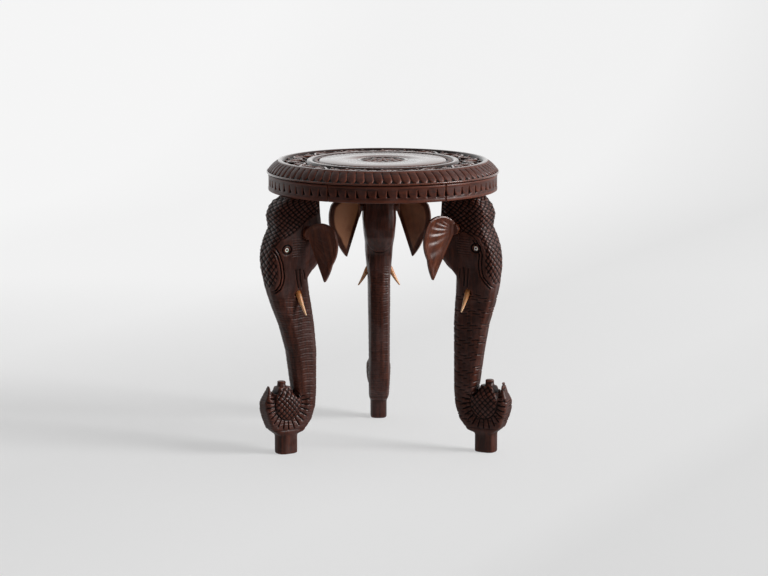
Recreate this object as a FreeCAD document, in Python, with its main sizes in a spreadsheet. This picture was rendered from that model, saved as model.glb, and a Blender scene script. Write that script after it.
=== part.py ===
import FreeCAD, Part
import math
import os
from typing import NamedTuple

import Sketcher
from FreeCAD import Placement, Rotation, Vector

# Carved elephant stool, in millimetres and degrees. +Z is up, and the origin is on the floor at the stool's axis.
# Each leg is drawn pointing out along +X, with +Y to its side, and is then turned round the axis to its place.

SIZES = {
    # Whole stool
    "stool_height": 406,
    "back_leg_turn": 92.3,
    "leg_count": 3,
    # Table top: one turned board with a carved bevel and a thin lip that stands proud of the apron
    "top_diameter": 330,
    "top_thickness": 19,
    "bevel_width": 16.6,
    "bevel_drop": 16,
    # Plain rim and sunk border of the top's face, from the bevel inward
    "rim_width": 6.2,
    "border_width": 34.6,
    "border_depth": 4,
    # Carved leaves of the border's vine, one in each bend of it on either side
    "vine_bends": 14,
    "leaf_height": 2.6,
    # Apron ring: six sawn segments, each with a band for upright tongues between two plain rims
    "apron_setback": 2.6,
    "apron_height": 23.6,
    "apron_width": 62.4,
    "segment_count": 6,
    "upper_rim_height": 3.2,
    "lower_rim_height": 4.4,
    "tongue_inset": 0.8,
    # The plank that each leg is carved from
    "leg_overhang": 1,
    "leg_depth": 102.5,
    "leg_width": 48.6,
    "back_leg_lean": 0,
    "left_leg_lean": 6.5,
    "right_leg_lean": -6.5,
    # Fruit held in the trunk's curl, its stem, and the foot under the curl
    "fruit_depth": 44,
    "fruit_width": 36,
    "fruit_height": 60,
    "stem_diameter": 13,
    "stem_height": 8,
    "foot_depth": 31,
    "foot_width": 24,
    "foot_chamfer": 1,
    # Tenon on the leg's head, in a mortise in the apron
    "tenon_depth": 34,
    "tenon_width": 24,
    "tenon_height": 16,
    "tenon_clearance": 0.3,
    # Ears
    "back_ear_height": 90,
    "left_ear_height": 83,
    "right_ear_height": 92,
    "back_ear_width": 58,
    "left_ear_width": 48.5,
    "right_ear_width": 50.5,
    "ear_thickness": 7,
    "ear_dish_depth": 2.8,
    "ear_sweep": 27.6,
    "back_ear_rise": 10.5,
    "right_ear_rise": 5,
    "back_ear_tilt": -8.5,
    "left_ear_tilt": -3.5,
    "right_ear_tilt": 3.5,
    "ear_boss_diameter": 18,
    "ear_boss_length": 7,
    "ear_seat_depth": 1.2,
    "ear_tenon_width": 11,
    "ear_tenon_thickness": 6,
    "ear_tenon_length": 9,
    # Tusks
    "tusk_diameter": 7.8,
    "tusk_tip_diameter": 2.2,
    "tusk_length": 32.5,
    "tusk_peg_length": 14,
    "tusk_spread": 30,
    "tusk_sweep": 5,
    # Eyes
    "eye_diameter": 6.4,
    "pupil_diameter": 2.2,
    "eye_thickness": 3,
    "eye_proud": 0.5,
    # Turned pegs and pins are drawn with this many flats, to keep the model light
    "peg_sides": 8,
    # Clearance of glued pegs in their bores, and how far every cutting shape overruns
    "bore_clearance": 0.2,
    "cut_overrun": 5,
}

# Places worked out from the sizes above, written once.
LEG_HEIGHT = "(Sizes.stool_height - Sizes.top_thickness - Sizes.apron_height)"
APRON_TOP = "(Sizes.stool_height - Sizes.top_thickness)"
APRON_OUTER = "(Sizes.top_diameter / 2 - Sizes.apron_setback)"
APRON_INNER = f"({APRON_OUTER} - Sizes.apron_width)"
LEG_INNER = f"({APRON_INNER} - Sizes.leg_overhang)"
LEG_ANGLE = "(360 / Sizes.leg_count)"
SEGMENT_ANGLE = "(360 / Sizes.segment_count)"


class HeadSection(NamedTuple):
    """A level cut through a leg: shares of the leg's height, depth (from its inner face) and half width."""

    height_share: float
    inner_share: float
    outer_share: float
    width_share: float
    round_share: float


class CurlSection(NamedTuple):
    """A cut through the trunk's curl, square to its run, at an angle round the fruit's centre."""

    angle: float
    wall_share: float
    fruit_share: float
    width_share: float
    round_share: float


class Seat(NamedTuple):
    """A place on the side of the head, as shares of the leg's height, depth and half width."""

    height_share: float
    depth_share: float
    width_share: float


EAR_SEAT_SHARES = Seat(0.86, 0.315, 0.975)
EYE_SEAT_SHARES = Seat(0.803, 0.638, 0.95)
TUSK_SEAT_SHARES = Seat(0.62, 0.455, 0.72)

# Neck and dome, brow, cheeks and chin, and down the trunk to the fruit.
HEAD_SECTION_SHARES = [
    HeadSection(1.00, 0.066, 0.585, 0.80, 0.45),
    HeadSection(0.985, 0.064, 0.663, 0.83, 0.48),
    HeadSection(0.965, 0.060, 0.733, 0.87, 0.53),
    HeadSection(0.93, 0.055, 0.781, 0.93, 0.55),
    HeadSection(0.88, 0.040, 0.744, 0.97, 0.52),
    HeadSection(0.84, 0.015, 0.812, 1.00, 0.50),
    HeadSection(EYE_SEAT_SHARES.height_share, 0.000, 0.858, EYE_SEAT_SHARES.width_share, 0.50),
    HeadSection(0.765, 0.030, 0.882, 0.90, 0.52),
    HeadSection(0.725, 0.130, 0.888, 0.82, 0.58),
    HeadSection(0.69, 0.232, 0.868, 0.81, 0.62),
    HeadSection(0.65, 0.246, 0.842, 0.76, 0.65),
    HeadSection(TUSK_SEAT_SHARES.height_share, 0.233, 0.815, TUSK_SEAT_SHARES.width_share, 0.67),
    HeadSection(0.58, 0.208, 0.776, 0.675, 0.70),
    HeadSection(0.50, 0.176, 0.673, 0.675, 0.72),
    HeadSection(0.40, 0.159, 0.588, 0.655, 0.72),
    HeadSection(0.24, 0.167, 0.500, 0.64, 0.66),
]

# Down behind the fruit, under it, up in front of it and in to the trunk's tip.
CURL_SECTION_SHARES = [
    CurlSection(180, 0.280, 0.72, 0.66, 0.62),
    CurlSection(205, 0.250, 0.72, 0.64, 0.62),
    CurlSection(230, 0.213, 0.72, 0.62, 0.62),
    CurlSection(255, 0.132, 0.72, 0.59, 0.60),
    CurlSection(280, 0.103, 0.72, 0.57, 0.60),
    CurlSection(305, 0.090, 0.72, 0.57, 0.60),
    CurlSection(330, 0.067, 0.72, 0.57, 0.60),
    CurlSection(355, 0.080, 0.72, 0.56, 0.60),
    CurlSection(378, 0.100, 0.80, 0.50, 0.60),
    CurlSection(397, 0.087, 0.95, 0.40, 0.60),
    CurlSection(408, 0.093, 1.12, 0.28, 0.60),
    CurlSection(417, 0.120, 1.37, 0.13, 0.60),
]

# The centres of the fruit, the foot and the tenon, as shares of the leg's height and depth.
FRUIT_HEIGHT_SHARE = 0.1816
FRUIT_DEPTH_SHARE = 0.683
FOOT_DEPTH_SHARE = 0.624
FOOT_WAIST_SHARE = 0.93
FOOT_ROUND_SHARE = 0.7
FRUIT_ROUND_SHARE = 0.8
# How far the fruit's sloping ends reach along its height and in from its sides, as shares of its half sizes.
FRUIT_END_SHARES = (0.62, 0.52)
TENON_DEPTH_SHARE = (HEAD_SECTION_SHARES[0].inner_share + HEAD_SECTION_SHARES[0].outer_share) / 2

# How much of a leg's lean is felt, by its share of the height: all of it from the brow to the dome, less at the
# glued neck, and a little of it backwards at the trunk and the foot.
LEAN_SHARES = [(0.0, -0.26), (0.2, -0.12), (0.4, -0.12), (0.78, 1.0), (0.985, 1.0), (1.0, 0.45)]

# The ear's outline, as shares of its width (out from the root) and height (up from its root's centre).
EAR_OUTLINE_SHARES = {
    "root_bottom": (0.05, -0.10),
    "tip": (0.62, -0.78),
    "lobe": (0.836, -0.467),
    "shoulder": (0.845, 0.12),
    "root_top": (-0.02, 0.09),
}
EAR_LOBE_ROUND_SHARE = 0.9
EAR_EDGE_ROUND_SHARE = 0.55
EAR_CROWN_ROUND_SHARE = 0.62
EAR_DISH_SHARES = [
    (0.32, -0.25), (0.60, -0.60), (0.74, -0.44), (0.83, -0.15), (0.76, 0.08), (0.56, 0.19), (0.36, 0.13),
]

# One group of leaves in the border, as shares of the border's width: out from its middle, and along it.
LEAF_SHARES = [(-0.12, 0), (0.05, -0.33), (0.26, -0.27), (0.36, 0), (0.26, 0.27), (0.05, 0.33)]


class Leg(NamedTuple):
    """One leg: its name, its place in the ring counted from the back leg, and how far its ears sit above the rest."""

    name: str
    place: int
    ear_rise: str

    @property
    def lean(self):
        """How far this leg's head leans out."""
        return f"Sizes.{self.name}_leg_lean"

    @property
    def ear_size(self):
        """The width and the height of this leg's ears, which were carved by eye."""
        return f"Sizes.{self.name}_ear_width", f"Sizes.{self.name}_ear_height"

    @property
    def ear_tilt(self):
        """How far this leg's ears are turned in their own plane."""
        return f"Sizes.{self.name}_ear_tilt"


LEGS = [
    Leg("back", 0, "Sizes.back_ear_rise"),
    Leg("left", 1, "0"),
    Leg("right", 2, "Sizes.right_ear_rise"),
]


def make_sheet(doc):
    """Put every driving size into a spreadsheet, each cell under its own name."""
    sheet = doc.addObject("Spreadsheet::Sheet", "Sizes")
    for row, (name, number) in enumerate(SIZES.items(), start=1):
        sheet.set(f"A{row}", name)
        sheet.set(f"B{row}", str(number))
        sheet.setAlias(f"B{row}", name)
    doc.recompute()
    return sheet


def value(expression):
    """Work out an expression of the sheet's sizes as a plain number."""
    return float(FreeCAD.ActiveDocument.getObject("Sizes").evalExpression(str(expression)))


def new_body(doc, label, azimuth="0"):
    """Make a body that is drawn along +X and turned round the stool's axis to its azimuth."""
    body = doc.addObject("PartDesign::Body", label)
    body.Label = label
    body.Placement = Placement(Vector(), Rotation(Vector(0, 0, 1), value(azimuth)))
    return body


def origin_part(body, role):
    """Find one of the body's own origin planes or axes by its role."""
    return next(part for part in body.Origin.OriginFeatures if part.Role == role)


def named_faces(made):
    """Every face of a feature's result with the name that another feature finds it by."""
    return [(f"Face{number}", face) for number, face in enumerate(made.Shape.Faces, start=1)]


def new_sketch(body, name, role, place=("0", "0", "0"), turn=None):
    """Attach a sketch to one of the body's origin planes, moved and turned in that plane's own axes."""
    sketch = body.newObject("Sketcher::SketchObject", name)
    sketch.AttachmentSupport = [(origin_part(body, role), "")]
    sketch.MapMode = "FlatFace"
    rotation = turn or Rotation()
    sketch.AttachmentOffset = Placement(Vector(*(value(part) for part in place)), rotation)
    for axis, expression in zip("xyz", place):
        if expression != "0":
            sketch.setExpression(f".AttachmentOffset.Base.{axis}", expression)
    return sketch


def bind(sketch, name, constraint, expression):
    """Add a dimension to a sketch and tie it to the sheet."""
    number = sketch.addConstraint(constraint)
    sketch.renameConstraint(number, name)
    sketch.setExpression(f"Constraints.{name}", expression)


SAME_PLACE = 0.01
ORIGIN = (-1, 1)
X_AXIS = -1
Y_AXIS = -2


def pin_point(sketch, name, geometry, point, corner):
    """Fix one point of a sketch at a corner given by two expressions."""
    x, y = corner
    if x == "0":
        sketch.addConstraint(Sketcher.Constraint("PointOnObject", geometry, point, Y_AXIS))
    else:
        bind(sketch, f"{name}_x", Sketcher.Constraint("DistanceX", *ORIGIN, geometry, point, value(x)), x)
    if y == "0":
        sketch.addConstraint(Sketcher.Constraint("PointOnObject", geometry, point, X_AXIS))
    else:
        bind(sketch, f"{name}_y", Sketcher.Constraint("DistanceY", *ORIGIN, geometry, point, value(y)), y)


# How far the middle of a round corner lies in from the square corner, as a share of the corner's radius.
CORNER_INSET_SHARE = 0.293


def arc_between(start, end, radius):
    """The short arc that runs counter-clockwise from start to end."""
    chord = end - start
    rise = math.sqrt(max(radius**2 - (chord.Length / 2) ** 2, 0))
    left = Vector(-chord.y, chord.x, 0).normalize()
    centre = (start + end) / 2 + left * rise
    angles = [math.atan2(point.y - centre.y, point.x - centre.x) for point in (start, end)]
    return Part.ArcOfCircle(Part.Circle(centre, Vector(0, 0, 1), radius), *angles)


def draw_outline(sketch, corners, arcs=None):
    """Draw a closed outline through corners, counter-clockwise, with an outward arc on each side named in arcs.

    A corner is a pair of expressions, and an arc's radius is an expression too.
    """
    arcs = arcs or {}
    points = [Vector(value(x), value(y), 0) for x, y in corners]
    for side, start in enumerate(points):
        end = points[(side + 1) % len(points)]
        if side in arcs:
            sketch.addGeometry(arc_between(start, end, value(arcs[side])), False)
        else:
            sketch.addGeometry(Part.LineSegment(start, end), False)
    for side in range(len(points)):
        sketch.addConstraint(Sketcher.Constraint("Coincident", side, 2, (side + 1) % len(points), 1))
    for side, corner in enumerate(corners):
        pin_point(sketch, f"corner_{side}", side, 1, corner)
    for side, radius in arcs.items():
        bind(sketch, f"radius_{side}", Sketcher.Constraint("Radius", side, value(radius)), radius)


def draw_rectangle(sketch, low, high):
    """Draw an upright rectangle between two corners given as pairs of expressions."""
    draw_outline(sketch, [low, (high[0], low[1]), high, (low[0], high[1])])


def draw_carved_section(sketch, half_x, half_y, corner):
    """Draw a flat-sided section about the sketch's origin, each of its corners rounded by two flats."""
    inset = f"({corner}) * {CORNER_INSET_SHARE}"
    quarter = [
        (half_x, f"{half_y} - {corner}"),
        (f"{half_x} - {inset}", f"{half_y} - {inset}"),
        (f"{half_x} - {corner}", half_y),
    ]
    points = [(value(x), value(y)) for x, y in quarter]
    points += [(-x, y) for x, y in reversed(points)]
    points += [(x, -y) for x, y in reversed(points)]
    corners = [Vector(x, y, 0) for x, y in points]
    count = len(corners)
    for side, start in enumerate(corners):
        sketch.addGeometry(Part.LineSegment(start, corners[(side + 1) % count]), False)
    for side in range(count):
        sketch.addConstraint(Sketcher.Constraint("Coincident", side, 2, (side + 1) % count, 1))
    for number, corner_place in enumerate(quarter):
        pin_point(sketch, f"corner_{number}", number, 1, corner_place)
    half = count // 2
    for number in range(half // 2):
        sketch.addConstraint(Sketcher.Constraint("Symmetric", number, 1, half - 1 - number, 1, Y_AXIS))
    for number in range(half):
        sketch.addConstraint(Sketcher.Constraint("Symmetric", number, 1, count - 1 - number, 1, X_AXIS))


def feature(body, kind, name, **settings):
    """Add a PartDesign feature. A setting given as text is an expression, and any other is a plain value."""
    made = body.newObject(f"PartDesign::{kind}", name)
    # No two of these features leave faces to be joined, and looking for them triples the build time.
    made.Refine = False
    for setting, content in settings.items():
        if isinstance(content, str):
            made.setExpression(setting, content)
        else:
            setattr(made, setting, content)
    return made


def lean_share(height_share):
    """The part of a leg's lean that is felt at a share of its height."""
    for (low, below), (high, above) in zip(LEAN_SHARES, LEAN_SHARES[1:]):
        if height_share <= high:
            return below + (above - below) * (height_share - low) / (high - low)
    return LEAN_SHARES[-1][1]


def leg_radius(leg, depth_share, height_share):
    """The distance from the stool's axis of a place on a leg, as an expression."""
    lean = f"{leg.lean} * {lean_share(height_share):.4f}"
    return f"({LEG_INNER} + Sizes.leg_depth * {depth_share} + {lean})"


def fruit_reach(angle):
    """The fruit's half size in a direction seen from the side, as an expression."""
    across = f"(2 * cos({angle % 360} deg) / Sizes.fruit_depth)^2"
    along = f"(2 * sin({angle % 360} deg) / Sizes.fruit_height)^2"
    return f"(1 / sqrt({across} + {along}))"


def head_section_sketch(body, leg, name, cut):
    """A level section of the head or the trunk."""
    middle_share = (cut.inner_share + cut.outer_share) / 2
    place = (leg_radius(leg, middle_share, cut.height_share), "0", f"{LEG_HEIGHT} * {cut.height_share}")
    sketch = new_sketch(body, name, "XY_Plane", place)
    half_depth = f"Sizes.leg_depth * {(cut.outer_share - cut.inner_share) / 2:.4f}"
    half_width = f"Sizes.leg_width * {cut.width_share / 2:.4f}"
    corner = f"min({half_depth}; {half_width}) * {cut.round_share}"
    draw_carved_section(sketch, half_depth, half_width, corner)
    return sketch


def curl_section_sketch(body, leg, name, cut):
    """A section of the curl, square to its run round the fruit."""
    inner = f"{fruit_reach(cut.angle)} * {cut.fruit_share}"
    outer = f"({fruit_reach(cut.angle)} + Sizes.leg_depth * {cut.wall_share})"
    middle = f"({inner} + {outer}) / 2"
    angle = cut.angle % 360
    radius = leg_radius(leg, FRUIT_DEPTH_SHARE, FRUIT_HEIGHT_SHARE)
    place = (
        f"{radius} + {middle} * cos({angle} deg)",
        "0",
        f"{LEG_HEIGHT} * {FRUIT_HEIGHT_SHARE} + {middle} * sin({angle} deg)",
    )
    turn = Rotation(Vector(0, 1, 0), 180 - cut.angle)
    sketch = new_sketch(body, name, "XY_Plane", place, turn)
    half_depth = f"({outer} - {inner}) / 2"
    half_width = f"Sizes.leg_width * {cut.width_share / 2:.4f}"
    corner = f"min({half_depth}; {half_width}) * {cut.round_share}"
    draw_carved_section(sketch, half_depth, half_width, corner)
    return sketch


def add_head_and_trunk(body, leg):
    """Loft the whole leg in one run, from the neck over the head and down the trunk to its tip."""
    cuts = [head_section_sketch(body, leg, f"Head{n}", cut) for n, cut in enumerate(HEAD_SECTION_SHARES)]
    cuts += [curl_section_sketch(body, leg, f"Curl{n}", cut) for n, cut in enumerate(CURL_SECTION_SHARES)]
    feature(body, "AdditiveLoft", "HeadAndTrunk", Profile=cuts[0], Sections=cuts[1:], Ruled=True)


def add_fruit(body, leg):
    """Add the fruit that the trunk curls round, narrowed at both ends, with its stem."""
    radius = leg_radius(leg, FRUIT_DEPTH_SHARE, FRUIT_HEIGHT_SHARE)
    middle = f"{LEG_HEIGHT} * {FRUIT_HEIGHT_SHARE}"
    sketch = new_sketch(body, "FruitSketch", "XY_Plane", (radius, "0", middle))
    corner = f"Sizes.fruit_width / 2 * {FRUIT_ROUND_SHARE}"
    draw_carved_section(sketch, "Sizes.fruit_depth / 2", "Sizes.fruit_width / 2", corner)
    block = feature(body, "Pad", "FruitBlock", Profile=sketch, Length="Sizes.fruit_height", Midplane=True)
    FreeCAD.ActiveDocument.recompute()
    middle_height = value(middle)
    ends = [
        name for name, face in named_faces(block)
        if abs(abs(face.CenterOfMass.z - middle_height) - value("Sizes.fruit_height / 2")) < SAME_PLACE
    ]
    along, across = FRUIT_END_SHARES
    rounding = feature(
        body, "Chamfer", "FruitEnds", Base=(block, ends),
        Size=f"Sizes.fruit_height / 2 * {along}", Size2=f"Sizes.fruit_width / 2 * {across}",
    )
    rounding.ChamferType = "Two distances"
    foot = Placement(Vector(value(radius), 0, middle_height), Rotation())
    add_peg(body, "Stem", foot, "Sizes.stem_diameter", "Sizes.fruit_height / 2 + Sizes.stem_height")


def add_foot(body, leg):
    """Add the foot, a peg with rounded corners that narrows a little to its chamfered sole."""
    radius = leg_radius(leg, FOOT_DEPTH_SHARE, 0)
    sketches = []
    for number, (height, waist) in enumerate([
        ("0", f"{FOOT_WAIST_SHARE}"),
        ("Sizes.foot_chamfer", "1"),
        (f"{LEG_HEIGHT} * {FRUIT_HEIGHT_SHARE} - Sizes.fruit_height / 2", "1"),
    ]):
        sketch = new_sketch(body, f"Foot{number}", "XY_Plane", (radius, "0", height))
        sides = [f"Sizes.foot_depth / 2 * {waist}", f"Sizes.foot_width / 2 * {waist}"]
        draw_carved_section(sketch, *sides, f"{sides[1]} * {FOOT_ROUND_SHARE}")
        sketches.append(sketch)
    feature(body, "AdditiveLoft", "Foot", Profile=sketches[0], Sections=sketches[1:], Ruled=True)


def add_tenon(body):
    """Add the tenon that stands up from the neck into the apron."""
    radius = f"({LEG_INNER} + Sizes.leg_depth * {TENON_DEPTH_SHARE})"
    sketch = new_sketch(body, "TenonSketch", "XY_Plane", (radius, "0", LEG_HEIGHT))
    half = ("Sizes.tenon_depth / 2", "Sizes.tenon_width / 2")
    draw_rectangle(sketch, tuple(f"-{side}" for side in half), half)
    feature(body, "Pad", "Tenon", Profile=sketch, Length="Sizes.tenon_height")


def side_place(leg, seat, rise="0", sink="0"):
    """The place on the +Y side of a head where something sits, with its own +Z out of the head."""
    height = value(f"{LEG_HEIGHT} * {seat.height_share} + {rise}")
    radius = value(leg_radius(leg, seat.depth_share, seat.height_share))
    side = value(f"Sizes.leg_width * {seat.width_share / 2} - {sink}")
    return Placement(Vector(radius, side, height), Rotation(Vector(0, 0, 1), Vector(0, 1, 0)))


def ear_place(leg):
    """The seat of the ear's boss, sunk a little into the head."""
    return side_place(leg, EAR_SEAT_SHARES, leg.ear_rise, "Sizes.ear_seat_depth")


def eye_place(leg):
    """The bottom of the eye's bore."""
    return side_place(leg, EYE_SEAT_SHARES, "0", "Sizes.eye_thickness - Sizes.eye_proud")


def tusk_place(leg):
    """Where the tusk leaves the trunk, with +Z along the tusk and +X out to its side."""
    spread, sweep = (math.radians(value(f"Sizes.tusk_{name}")) for name in ("spread", "sweep"))
    along = Vector(-math.sin(sweep), math.sin(spread), -math.cos(spread)).normalize()
    out = Vector(0, 1, 0) - along * along.y
    base = side_place(leg, TUSK_SEAT_SHARES).Base
    return Placement(base, Rotation(out, Vector(), along, "ZXY"))


def shifted(place, distance):
    """A place moved along its own +Z by an expression."""
    return place.multiply(Placement(Vector(0, 0, value(distance)), Rotation()))


def mirrored(place):
    """The place across the leg's middle, with its own +X and +Z mirrored."""
    across = [Vector(axis.x, -axis.y, axis.z) for axis in (place.Base, *(
        place.Rotation.multVec(unit) for unit in (Vector(1, 0, 0), Vector(0, 0, 1))
    ))]
    return Placement(across[0], Rotation(across[1], Vector(), across[2], "ZXY"))


def add_peg(body, name, place, diameter, length):
    """Add a turned peg from a place along its +Z."""
    return feature(
        body, "AdditivePrism", name, Placement=place,
        Polygon="Sizes.peg_sides", Circumradius=f"{diameter} / 2", Height=length,
    )


def bore(body, name, place, diameter, depth):
    """Cut a peg's hole from a place back along its own -Z, and on out along +Z by the overrun."""
    feature(
        body, "SubtractivePrism", name, Placement=shifted(place, f"-({depth})"),
        Polygon="Sizes.peg_sides", Circumradius=f"{diameter} / 2 + Sizes.bore_clearance",
        Height=f"{depth} + Sizes.cut_overrun",
    )


def bore_both_sides(body, name, place, diameter, depth):
    """Cut the same peg hole in both sides of a leg."""
    bore(body, f"{name}Left", place, diameter, depth)
    bore(body, f"{name}Right", mirrored(place), diameter, depth)


def box(body, kind, name, place, sides, length, room="0"):
    """Add or cut a square-edged block from a place along its +Z, with room to spare on every side but the mouth."""
    width, thickness = (f"({side} + 2 * {room})" for side in sides)
    corner = Placement(Vector(-value(width) / 2, -value(thickness) / 2, 0), Rotation())
    feature(body, kind, name, Placement=place.multiply(corner), Length=width, Width=thickness, Height=length)


def build_leg(doc, leg):
    """Carve one leg: head, trunk, fruit, stem, foot and tenon from one plank, with the bores for what it carries."""
    body = new_body(doc, f"{leg.name}_leg", leg_azimuth(leg))
    add_fruit(body, leg)
    add_head_and_trunk(body, leg)
    add_foot(body, leg)
    add_tenon(body)
    bore_both_sides(body, "EarSeat", ear_place(leg), "Sizes.ear_boss_diameter", "0")
    for name, place in (("EarMortiseLeft", ear_place(leg)), ("EarMortiseRight", mirrored(ear_place(leg)))):
        end = shifted(place, "-(Sizes.ear_tenon_length + Sizes.bore_clearance)")
        length = "Sizes.ear_tenon_length + Sizes.bore_clearance + Sizes.cut_overrun"
        box(body, "SubtractiveBox", name, end, EAR_TENON, length, "Sizes.bore_clearance")
    bore_both_sides(body, "EyeBore", eye_place(leg), "Sizes.eye_diameter", "0")
    bore_both_sides(body, "TuskBore", tusk_place(leg), "Sizes.tusk_diameter", "Sizes.tusk_peg_length")
    return body


def leg_azimuth(leg):
    """The direction of a leg from the stool's axis, as an expression."""
    return f"(Sizes.back_leg_turn + {LEG_ANGLE} * {leg.place})"


EAR_TENON = ("Sizes.ear_tenon_thickness", "Sizes.ear_tenon_width")


def build_ear(doc, leg):
    """Make the +Y ear of a leg: a dished blade on a round boss, with a tenon that is glued into the head."""
    body = new_body(doc, f"{leg.name}_leg_left_ear", leg_azimuth(leg))
    seat = ear_place(leg)
    add_peg(body, "Boss", seat, "Sizes.ear_boss_diameter", "Sizes.ear_boss_length")
    tenon_end = shifted(seat, "-Sizes.ear_tenon_length")
    box(body, "AdditiveBox", "EarTenon", tenon_end, EAR_TENON, "Sizes.ear_tenon_length")
    root = shifted(seat, "Sizes.ear_boss_length / 2").Base
    sweep, tilt = value("Sizes.ear_sweep"), value(leg.ear_tilt)
    turn = Rotation(Vector(0, 1, 0), 90 + sweep).multiply(Rotation(Vector(0, 0, 1), tilt))
    sketch = new_sketch(body, "BladeSketch", "XZ_Plane")
    sketch.AttachmentOffset = Placement(Vector(root.x, root.z, -root.y), turn)
    width, height = leg.ear_size
    draw_outline(sketch, [(f"{width} * {u}", f"{height} * {v}") for u, v in EAR_OUTLINE_SHARES.values()], {
        1: f"{height} * {EAR_LOBE_ROUND_SHARE}",
        2: f"{height} * {EAR_EDGE_ROUND_SHARE}",
        3: f"{width} * {EAR_CROWN_ROUND_SHARE}",
    })
    feature(body, "Pad", "Blade", Profile=sketch, Length="Sizes.ear_thickness", Midplane=True)
    add_ear_dish(body, sketch, leg)
    return body


def add_ear_dish(body, blade, leg):
    """Hollow the ear's front, out of the stool, and leave a rim all round."""
    sketch = body.newObject("Sketcher::SketchObject", "DishSketch")
    sketch.AttachmentSupport = blade.AttachmentSupport
    sketch.MapMode = blade.MapMode
    front = blade.AttachmentOffset.Rotation.multVec(Vector(0, 0, value("Sizes.ear_thickness / 2")))
    sketch.AttachmentOffset = Placement(blade.AttachmentOffset.Base + front, blade.AttachmentOffset.Rotation)
    width, height = leg.ear_size
    draw_outline(sketch, [(f"{width} * {u}", f"{height} * {v}") for u, v in EAR_DISH_SHARES])
    feature(body, "Pocket", "Dish", Profile=sketch, Length="Sizes.ear_dish_depth")


def build_tusk(doc, leg):
    """Make the +Y tusk of a leg: a tapered point, and the peg that holds it in its bore."""
    body = new_body(doc, f"{leg.name}_leg_left_tusk", leg_azimuth(leg))
    body.Placement = body.Placement.multiply(tusk_place(leg))
    point = add_peg(body, "Point", Placement(), "Sizes.tusk_diameter", "Sizes.tusk_length")
    doc.recompute()
    sides = [name for name, face in named_faces(point) if abs(face.normalAt(0, 0).z) < SAME_PLACE]
    taper = "atan((Sizes.tusk_diameter - Sizes.tusk_tip_diameter) / 2 / Sizes.tusk_length)"
    root = (origin_part(body, "XY_Plane"), [""])
    feature(body, "Draft", "Taper", Base=(point, sides), NeutralPlane=root, Angle=taper)
    bottom = Placement(Vector(0, 0, -value("Sizes.tusk_peg_length")), Rotation())
    add_peg(body, "Peg", bottom, "Sizes.tusk_diameter", "Sizes.tusk_peg_length")
    return body


def build_eye_ring(doc, leg):
    """Make the +Y eye ring of a leg: a pale disc let into the head, with a hole for the pupil."""
    body = new_body(doc, f"{leg.name}_leg_left_eye_ring", leg_azimuth(leg))
    add_peg(body, "Ring", eye_place(leg), "Sizes.eye_diameter", "Sizes.eye_thickness")
    bore(body, "PupilBore", shifted(eye_place(leg), "Sizes.eye_thickness"), "Sizes.pupil_diameter",
         "(Sizes.eye_thickness + Sizes.cut_overrun)")
    return body


def build_eye_pupil(doc, leg):
    """Make the +Y pupil of a leg: a dark pin in the eye ring."""
    body = new_body(doc, f"{leg.name}_leg_left_pupil", leg_azimuth(leg))
    add_peg(body, "Pupil", eye_place(leg), "Sizes.pupil_diameter", "Sizes.eye_thickness")
    return body


def mirror_piece(doc, piece, leg):
    """Make the matching piece of the head's other side, mirrored across the leg's middle."""
    label = piece.Label.replace("_leg_left_", "_leg_right_")
    copy = doc.addObject("Part::Mirroring", label)
    copy.Label = label
    copy.Source = piece
    azimuth = math.radians(value(leg_azimuth(leg)))
    copy.Normal = Vector(-math.sin(azimuth), math.cos(azimuth), 0)
    return copy


def build_segment(doc, number):
    """Make one sawn segment of the apron ring: two plain rims and the band between them for its tongues."""
    azimuth = f"(Sizes.back_leg_turn + {SEGMENT_ANGLE} * {number - 0.5})"
    body = new_body(doc, f"apron_segment_{number + 1}", azimuth)
    sketch = new_sketch(body, "Moulding", "XZ_Plane")
    band = f"({APRON_OUTER} - Sizes.tongue_inset)"
    band_bottom, band_top = f"({LEG_HEIGHT} + Sizes.lower_rim_height)", f"({APRON_TOP} - Sizes.upper_rim_height)"
    draw_outline(sketch, [
        (APRON_INNER, LEG_HEIGHT),
        (APRON_OUTER, LEG_HEIGHT),
        (APRON_OUTER, band_bottom),
        (band, band_bottom),
        (band, band_top),
        (APRON_OUTER, band_top),
        (APRON_OUTER, APRON_TOP),
        (APRON_INNER, APRON_TOP),
    ])
    feature(body, "Revolution", "Ring", Profile=sketch, ReferenceAxis=(sketch, ["V_Axis"]), Angle=SEGMENT_ANGLE)
    if number % value("Sizes.segment_count / Sizes.leg_count") == 0:
        add_mortise(body)
    return body


def add_mortise(body):
    """Cut the mortise for a leg's tenon up into the middle of a segment."""
    angle = f"{SEGMENT_ANGLE} / 2"
    radius = f"({LEG_INNER} + Sizes.leg_depth * {TENON_DEPTH_SHARE})"
    place = (f"{radius} * cos({angle} * 1 deg)", f"{radius} * sin({angle} * 1 deg)", LEG_HEIGHT)
    sketch = new_sketch(body, "MortiseSketch", "XY_Plane", place, Rotation(Vector(0, 0, 1), value(angle)))
    half = ("(Sizes.tenon_depth / 2 + Sizes.tenon_clearance)", "(Sizes.tenon_width / 2 + Sizes.tenon_clearance)")
    draw_rectangle(sketch, tuple(f"-{side}" for side in half), half)
    depth = "Sizes.tenon_height + Sizes.tenon_clearance"
    feature(body, "Pocket", "Mortise", Profile=sketch, Length=depth, Reversed=True)


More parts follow.
